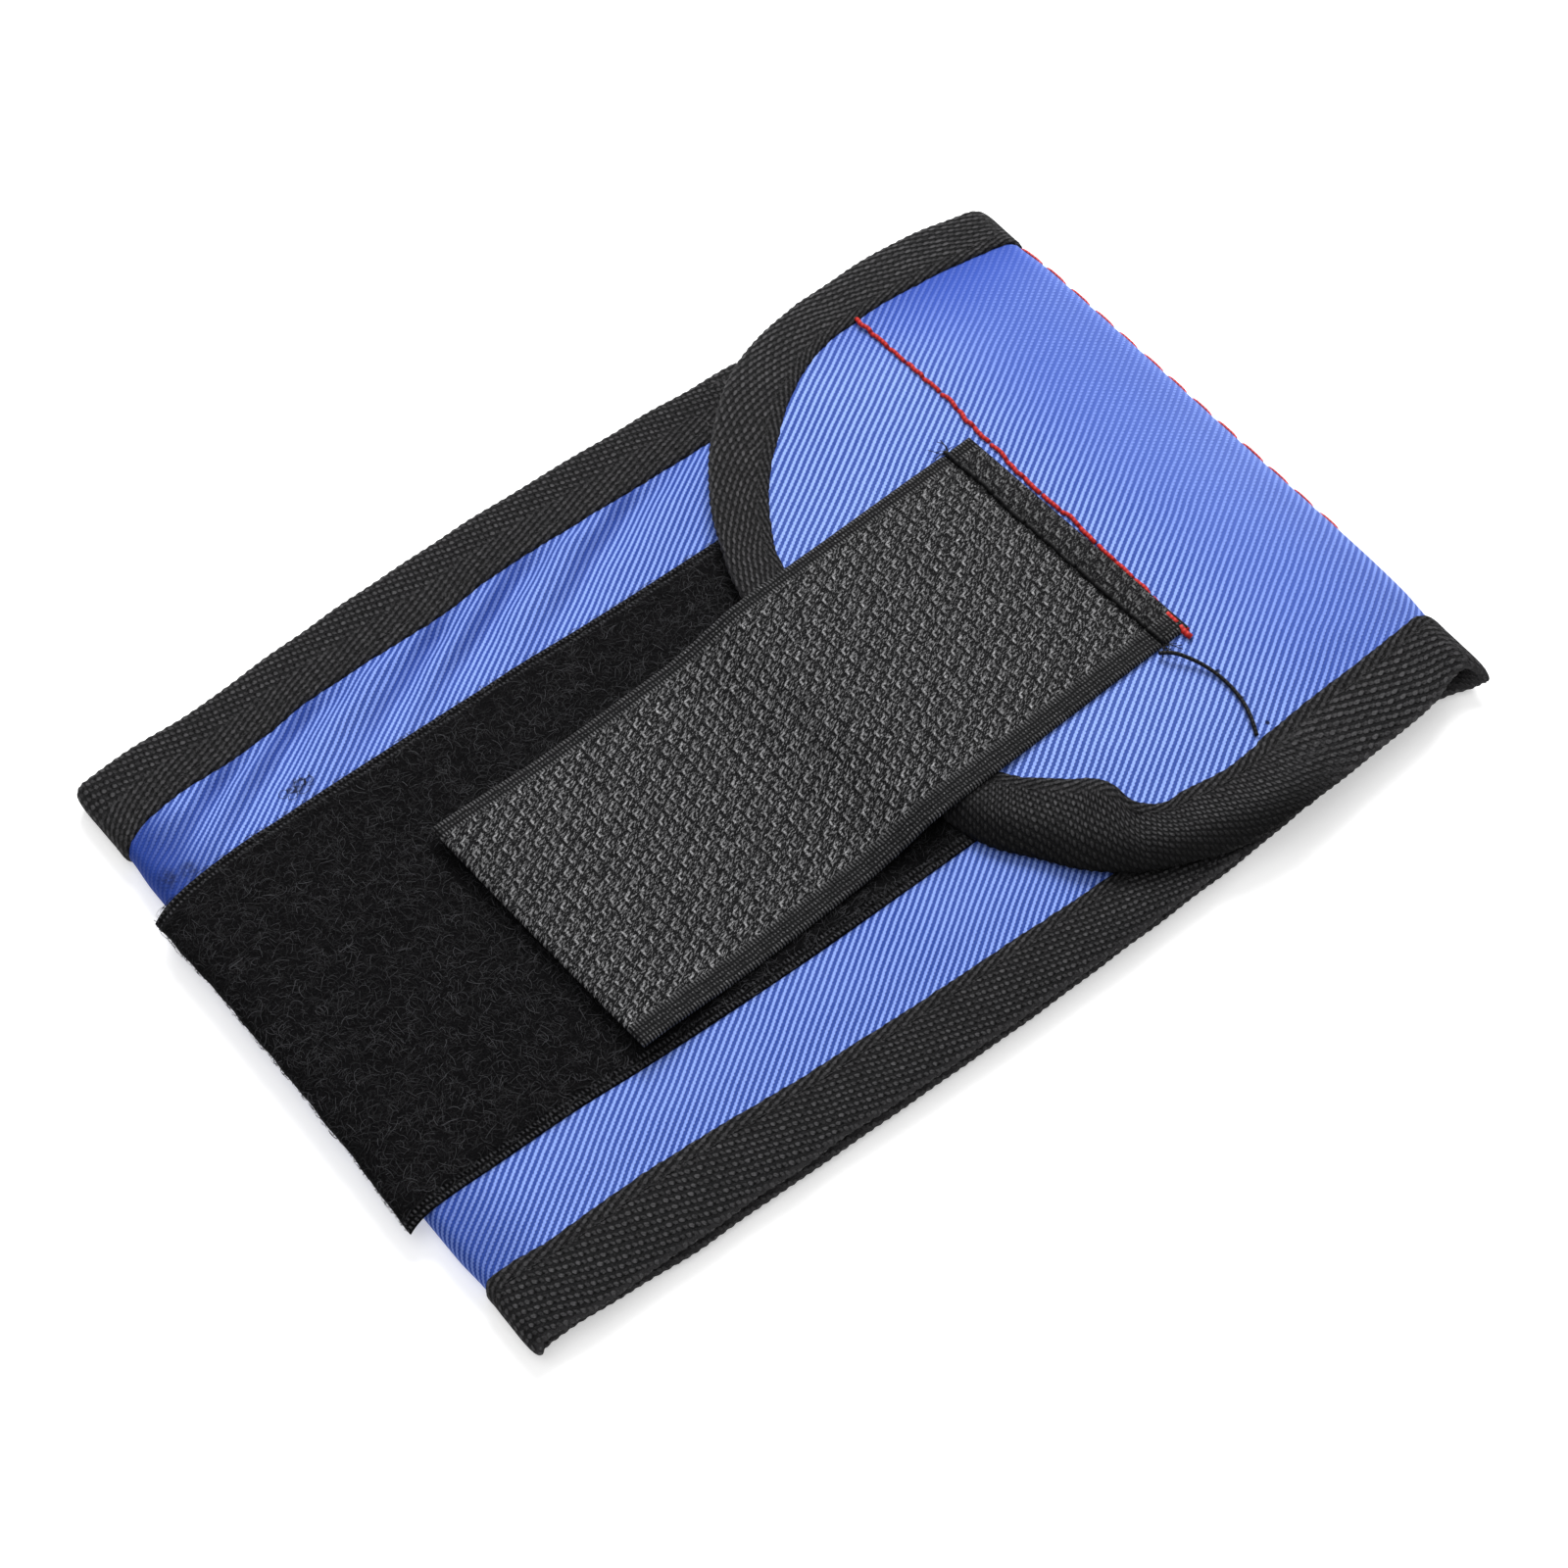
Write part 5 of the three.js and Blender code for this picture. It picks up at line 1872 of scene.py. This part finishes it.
class WRISTBAND_OT_seams(bpy.types.Operator):
    """Sew the red seams across the band and the black seam that holds the strap"""

    bl_idname = "wristband.seams"
    bl_label = "Seams"

    def execute(self, context):
        sizes = context.scene.wristband_sizes
        band = Band(sizes)
        draw = np.random.default_rng(sizes.seed + 3)
        red = shared_finish("red_sewing_thread", red_thread_finish, context)
        black = shared_finish("black_sewing_thread", black_thread_finish, context)
        radius = sizes.thread_radius / MM
        length = sizes.red_stitch_length / MM
        self.tongue_seam(band, draw, red, radius, length)
        pale_red = shared_finish("faded_red_thread", pale_thread_finish, context)
        self.fold_seam(band, draw, pale_red, FOLD_THREAD * radius)
        self.base_seams(band, draw, red, radius, length)
        self.strap_seam(band, draw, black, sizes.stitch_length / MM)
        return {"FINISHED"}

    def tongue_seam(self, band, draw, red, radius, length):
        """The red seam beside the strap, with a bar tack at its near end."""
        y = np.arange(*TONGUE_SEAM_Y)
        bow = TONGUE_SEAM_BOW * ease(-5.0, 25.0, y) * ease(45.0, 25.0, 40.0 - y)
        x = TONGUE_SEAM + waver(51, y, 0.35, 30.0) + bow
        seam = seam_line(band, x + waver(52, y, 0.12, 2.2) - TONGUE_TIP, y, 0.1)
        row = stitches(*seam, length, radius, draw, SEAM_SLACK, SEAM_SLACK)
        y = np.arange(*TACK_Y)
        tack = band.place(TACK - TONGUE_TIP, y, 0.02)
        ups = np.tile(UP, (len(y), 1))
        bar = stitches(tack, ups, TACK_STITCH, radius * TACK_THICKNESS, draw, 0.15, 0.3)
        piece = add_piece("red_seam_tongue", *merged([row, bar]), red, "red_thread")
        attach(piece, "tongue")

    def fold_seam(self, band, draw, red, radius):
        """The red seam along the right fold: two thin strands, fading towards the near side."""
        middle = (band.starts[1] + band.starts[2]) / 2
        shapes = []
        for share, count in FOLD_STRANDS:
            end = FOLD_SEAM_START - count * FOLD_STITCH
            y = np.linspace(FOLD_SEAM_START, end, count * FOLD_STRAND_POINTS + 1)
            s = middle - share * band.run_lengths[1] + waver(61, y, 0.12, 6.0)
            seam = seam_line(band, s, y, 0.15 + 0.25 * ease(33.0, 38.0, y))
            shapes.append(stitches(*seam, FOLD_STITCH, radius, draw, 0.5, 0.1, FOLD_STITCH_RISE))
        piece = add_piece("red_seam_fold", *merged(shapes), red, "red_thread")
        bend_with(piece, band, "right_fold")

    def base_seams(self, band, draw, red, radius, length):
        """The red seams between the magnet pockets on the outside of the band."""
        shapes = []
        y = np.arange(*BASE_SEAM_Y)
        for number, x in enumerate(RED_SEAMS_UNDER):
            s = band.length_at("base", x) + waver(71 + number, y, 0.25, 25.0)
            seam = seam_line(band, s, y, 0.24)
            shapes.append(stitches(*seam, length, radius, draw, SEAM_SLACK, 0.2))
        piece = add_piece("red_seams_base", *merged(shapes), red, "red_thread")
        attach(piece, "base")

    def strap_seam(self, band, draw, black, length):
        """The black seam that holds the strap to the tongue."""
        half = STRAP_HALF + STRAP_SEAM_OVERHANG
        v = np.arange(half, -half, -0.4)
        line = strap_place(band, waver(81, v, 0.15, 12.0), v, STRAP_THICK - 0.2)
        ups = np.tile(UP, (len(v), 1))
        shape = stitches(line, ups, length, STRAP_THREAD, draw, 0.2, 0.15)
        piece = add_piece("strap_seam", *shape, black, "black_thread")
        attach(piece, "tongue")


# Loose ends: the cut thread, frays at both ends of the strap's seam, and lint

LOOSE_RADIUS = 0.27
LOOSE_STEP = 0.4
FRAYS = ((-STRAP_HALF, 9), (STRAP_HALF, 7))
FRAY_POINTS = 6
FRAY_LENGTHS = (0.8, 2.2)
FRAY_RADIUS = 0.06
LINT_CURLS = 16
LINT_POINTS = 16
LINT_SIZES = (0.2, 0.75)
LINT_RADIUS = 0.032


class WRISTBAND_OT_loose_threads(bpy.types.Operator):
    """Leave the loose thread, the frayed seam ends and a curl of lint"""

    bl_idname = "wristband.loose_threads"
    bl_label = "Loose threads"

    def execute(self, context):
        sizes = context.scene.wristband_sizes
        band = Band(sizes)
        draw = np.random.default_rng(sizes.seed + 4)
        black = shared_finish("black_sewing_thread", black_thread_finish, context)
        points = np.array(LOOSE_THREAD)
        points[:, 2] += band.tongue_height(points[:, 0], points[:, 1])
        shapes = [tube(even_line(points, LOOSE_STEP), LOOSE_RADIUS, THREAD_SIDES, LOOSE_TWIST)]
        t = np.linspace(0.0, 1.0, FRAY_POINTS)
        for v, count in FRAYS:
            root = strap_place(band, 0.0, v, 0.3)
            outward = math.copysign(1.0, v)
            for _ in range(count):
                heading = outward * math.pi / 2 + draw.normal(0.0, 0.7)
                reach = draw.uniform(*FRAY_LENGTHS)
                turn = heading + draw.normal(0.0, 0.8) * t
                x = root[0] + draw.normal(0.0, 0.3) + reach * t * np.cos(turn)
                y = root[1] + reach * t * np.sin(turn)
                z = root[2] + 0.25 * np.sin(t * 2.4) - 0.15 * t
                shapes.append(tube(joined(x, y, z), FRAY_RADIUS, FINE_SIDES, LOOSE_TWIST))
        piece = add_piece("loose_thread", *merged(shapes), black, "black_thread")
        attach(piece, "tongue")
        self.lint(band, draw, black)
        return {"FINISHED"}

    def lint(self, band, draw, black):
        """A curl of lint that clings to the loop panel."""
        shapes = []
        t = np.linspace(0.0, 1.0, LINT_POINTS)
        for _ in range(LINT_CURLS):
            angle = t * draw.uniform(3.0, 8.0) + draw.uniform(0.0, 6.0)
            size = draw.uniform(*LINT_SIZES) * (0.6 + 0.6 * t)
            x = LINT_PLACE[0] + draw.normal(0.0, 0.75) + size * np.cos(angle)
            y = LINT_PLACE[1] + draw.normal(0.0, 0.5) + size * 0.8 * np.sin(angle)
            s = band.length_at("loop", x)
            path = band.place(s, y, -0.15 - 0.3 * draw.random() * np.sin(t * 3.1))
            shapes.append(tube(path, LINT_RADIUS, FINE_SIDES, LOOSE_TWIST))
        piece = add_piece("lint_curl", *merged(shapes), black, "black_thread")
        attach(piece, "loop_panel")


# Magnets

DISC_RIM = 0.2
DISC_SIDES = 64


class WRISTBAND_OT_magnets(bpy.types.Operator):
    """Set the rounded nickel discs between the cover and the lining"""

    bl_idname = "wristband.magnets"
    bl_label = "Magnets"

    def execute(self, context):
        band = Band(context.scene.wristband_sizes)
        finish = shared_finish("nickel_plate", nickel_finish, context)
        for body, nodes in (("base", BASE_MAGNETS), ("tongue", TONGUE_MAGNETS)):
            for node in nodes:
                points, *rest = self.disc(lowest(node), highest(node))
                if body == "tongue":
                    points[:, 2] -= TONGUE_TOP - band.tongue_height(points[:, 0], points[:, 1])
                piece = add_piece(node.replace("magnet", "disc"), points, *rest, finish, "magnet_nickel")
                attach(piece, body)
                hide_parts(node)
        return {"FINISHED"}

    def disc(self, low, high):
        """A disc with rounded rims between two corners."""
        centre = (low + high) / 2
        radius = (high[0] - low[0]) / 2
        bottom = -(high[2] - low[2]) / 2
        lower = [(radius * 0.5, bottom), (radius - DISC_RIM, bottom)]
        lower += [(radius - DISC_RIM * 0.3, bottom + DISC_RIM * 0.3), (radius, bottom + DISC_RIM)]
        outline = np.array(lower + [(r, -z) for r, z in lower[::-1]])
        turns = np.arange(DISC_SIDES) * 2.0 * math.pi / DISC_SIDES
        x = centre[0] + outline[:, 0, None] * np.cos(turns)
        y = centre[1] + outline[:, 0, None] * np.sin(turns)
        points = joined(x, y, centre[2] + outline[:, 1, None]).reshape(-1, 3)
        return points, closed_faces(len(outline), DISC_SIDES), points[:, :2] - centre[:2]


# Stage

FLOOR = -0.32
VIEW_TARGET = (-1.78, -4.48, 0.0)
VIEW_AZIMUTH = math.radians(-36.09)
VIEW_ELEVATION = math.radians(57.15)
VIEW_ROLL = math.radians(-2.80)
VIEW_DISTANCE = 433.66
VIEW_FOCAL_PIXELS = 3764.75
IMAGE_PIXELS = 1600.0
SENSOR = 36.0
FLOOR_HALF = 1500.0
LIGHTS = (
    ("key_light", (0.50, 0.56, 0.66), 0.5, 11.0),
    ("top_light", (-0.25, 0.05, 0.95), 0.8, 2.6),
)
ROOM_LIGHT = 0.42


class WRISTBAND_OT_stage(bpy.types.Operator):
    """Set the floor, the soft lights and the camera"""

    bl_idname = "wristband.stage"
    bl_label = "Stage"

    def execute(self, context):
        scene = context.scene
        scene.view_settings.view_transform = "Standard"
        self.floor(context)
        self.camera(scene)
        self.lights(scene)
        return {"FINISHED"}

    def floor(self, context):
        """A wide pale floor under the band."""
        corners = ((-1.0, -1.0), (1.0, -1.0), (1.0, 1.0), (-1.0, 1.0))
        points = np.array([(x * FLOOR_HALF, y * FLOOR_HALF, FLOOR) for x, y in corners])
        finish = shared_finish("studio_floor", floor_finish, context)
        mesh = bpy.data.meshes.new("studio_floor")
        mesh.from_pydata((points * MM).tolist(), [], [[0, 1, 2, 3]])
        layer = mesh.uv_layers.new(name=WEAVE)
        layer.data.foreach_set("uv", points[:, :2].astype(np.float32).ravel())
        mesh.materials.append(finish)
        floor = bpy.data.objects.new("studio_floor", mesh)
        context.scene.collection.objects.link(floor)

    def camera(self, scene):
        """The camera at the photograph's angle."""
        back = Vector(
            (
                math.sin(VIEW_AZIMUTH) * math.cos(VIEW_ELEVATION),
                -math.cos(VIEW_AZIMUTH) * math.cos(VIEW_ELEVATION),
                math.sin(VIEW_ELEVATION),
            )
        )
        right = (-back).cross(Vector(UP)).normalized()
        up = right.cross(-back)
        cosine, sine = math.cos(VIEW_ROLL), math.sin(VIEW_ROLL)
        turned_right = right * cosine + up * sine
        turned_up = up * cosine - right * sine
        lens = bpy.data.cameras.new("studio_camera")
        lens.sensor_width = SENSOR
        lens.lens = VIEW_FOCAL_PIXELS * SENSOR / IMAGE_PIXELS
        camera = bpy.data.objects.new("studio_camera", lens)
        place = (Vector(VIEW_TARGET) + back * VIEW_DISTANCE) * MM
        turn = Matrix((turned_right, turned_up, back)).transposed()
        camera.matrix_world = Matrix.Translation(place) @ turn.to_4x4()
        scene.collection.objects.link(camera)
        scene.camera = camera

    def lights(self, scene):
        """A large soft light behind and above, a fill in front and a bright room."""
        for name, place, size, power in LIGHTS:
            lamp = bpy.data.lights.new(name, "AREA")
            lamp.size = size
            lamp.energy = power
            light = bpy.data.objects.new(name, lamp)
            light.location = place
            light.rotation_euler = Vector(place).to_track_quat("Z", "Y").to_euler()
            scene.collection.objects.link(light)
        room = bpy.data.worlds.new("studio_room")
        room.use_nodes = True
        shade = room.node_tree.nodes["Background"]
        shade.inputs["Color"].default_value = WHITE
        shade.inputs["Strength"].default_value = ROOM_LIGHT
        scene.world = room


class WRISTBAND_PT_panel(bpy.types.Panel):
    """Sizes, colours and pieces of the wristband"""

    bl_idname = "WRISTBAND_PT_panel"
    bl_label = "Wristband"
    bl_space_type = "VIEW_3D"
    bl_region_type = "UI"
    bl_category = "Wristband"

    def draw(self, context):
        for group in (context.scene.wristband_sizes, context.scene.wristband_colours):
            column = self.layout.column()
            for name in group.bl_rna.properties.keys():
                if name not in ("rna_type", "name"):
                    column.prop(group, name)
        for piece in OPERATORS:
            self.layout.operator(piece.bl_idname)


OPERATORS = (
    WRISTBAND_OT_stage,
    WRISTBAND_OT_lining,
    WRISTBAND_OT_magnets,
    WRISTBAND_OT_cover,
    WRISTBAND_OT_binding,
    WRISTBAND_OT_binding_stitches,
    WRISTBAND_OT_loop_strip,
    WRISTBAND_OT_hook_strap,
    WRISTBAND_OT_seams,
    WRISTBAND_OT_loose_threads,
)
CLASSES = (WristbandSizes, WristbandColours, *OPERATORS, WRISTBAND_PT_panel)


def register():
    """Adds the classes and the scene's size and colour groups."""
    for item in CLASSES:
        bpy.utils.register_class(item)
    bpy.types.Scene.wristband_sizes = bpy.props.PointerProperty(type=WristbandSizes)
    bpy.types.Scene.wristband_colours = bpy.props.PointerProperty(type=WristbandColours)


def unregister():
    """Takes them out again."""
    del bpy.types.Scene.wristband_colours
    del bpy.types.Scene.wristband_sizes
    for item in reversed(CLASSES):
        bpy.utils.unregister_class(item)


def main():
    """Builds every piece."""
    register()
    bpy.ops.wristband.stage()
    bpy.ops.wristband.lining()
    bpy.ops.wristband.magnets()
    bpy.ops.wristband.cover()
    bpy.ops.wristband.binding()
    bpy.ops.wristband.binding_stitches()
    bpy.ops.wristband.loop_strip()
    bpy.ops.wristband.hook_strap()
    bpy.ops.wristband.seams()
    bpy.ops.wristband.loose_threads()


if __name__ == "__main__":
    main()
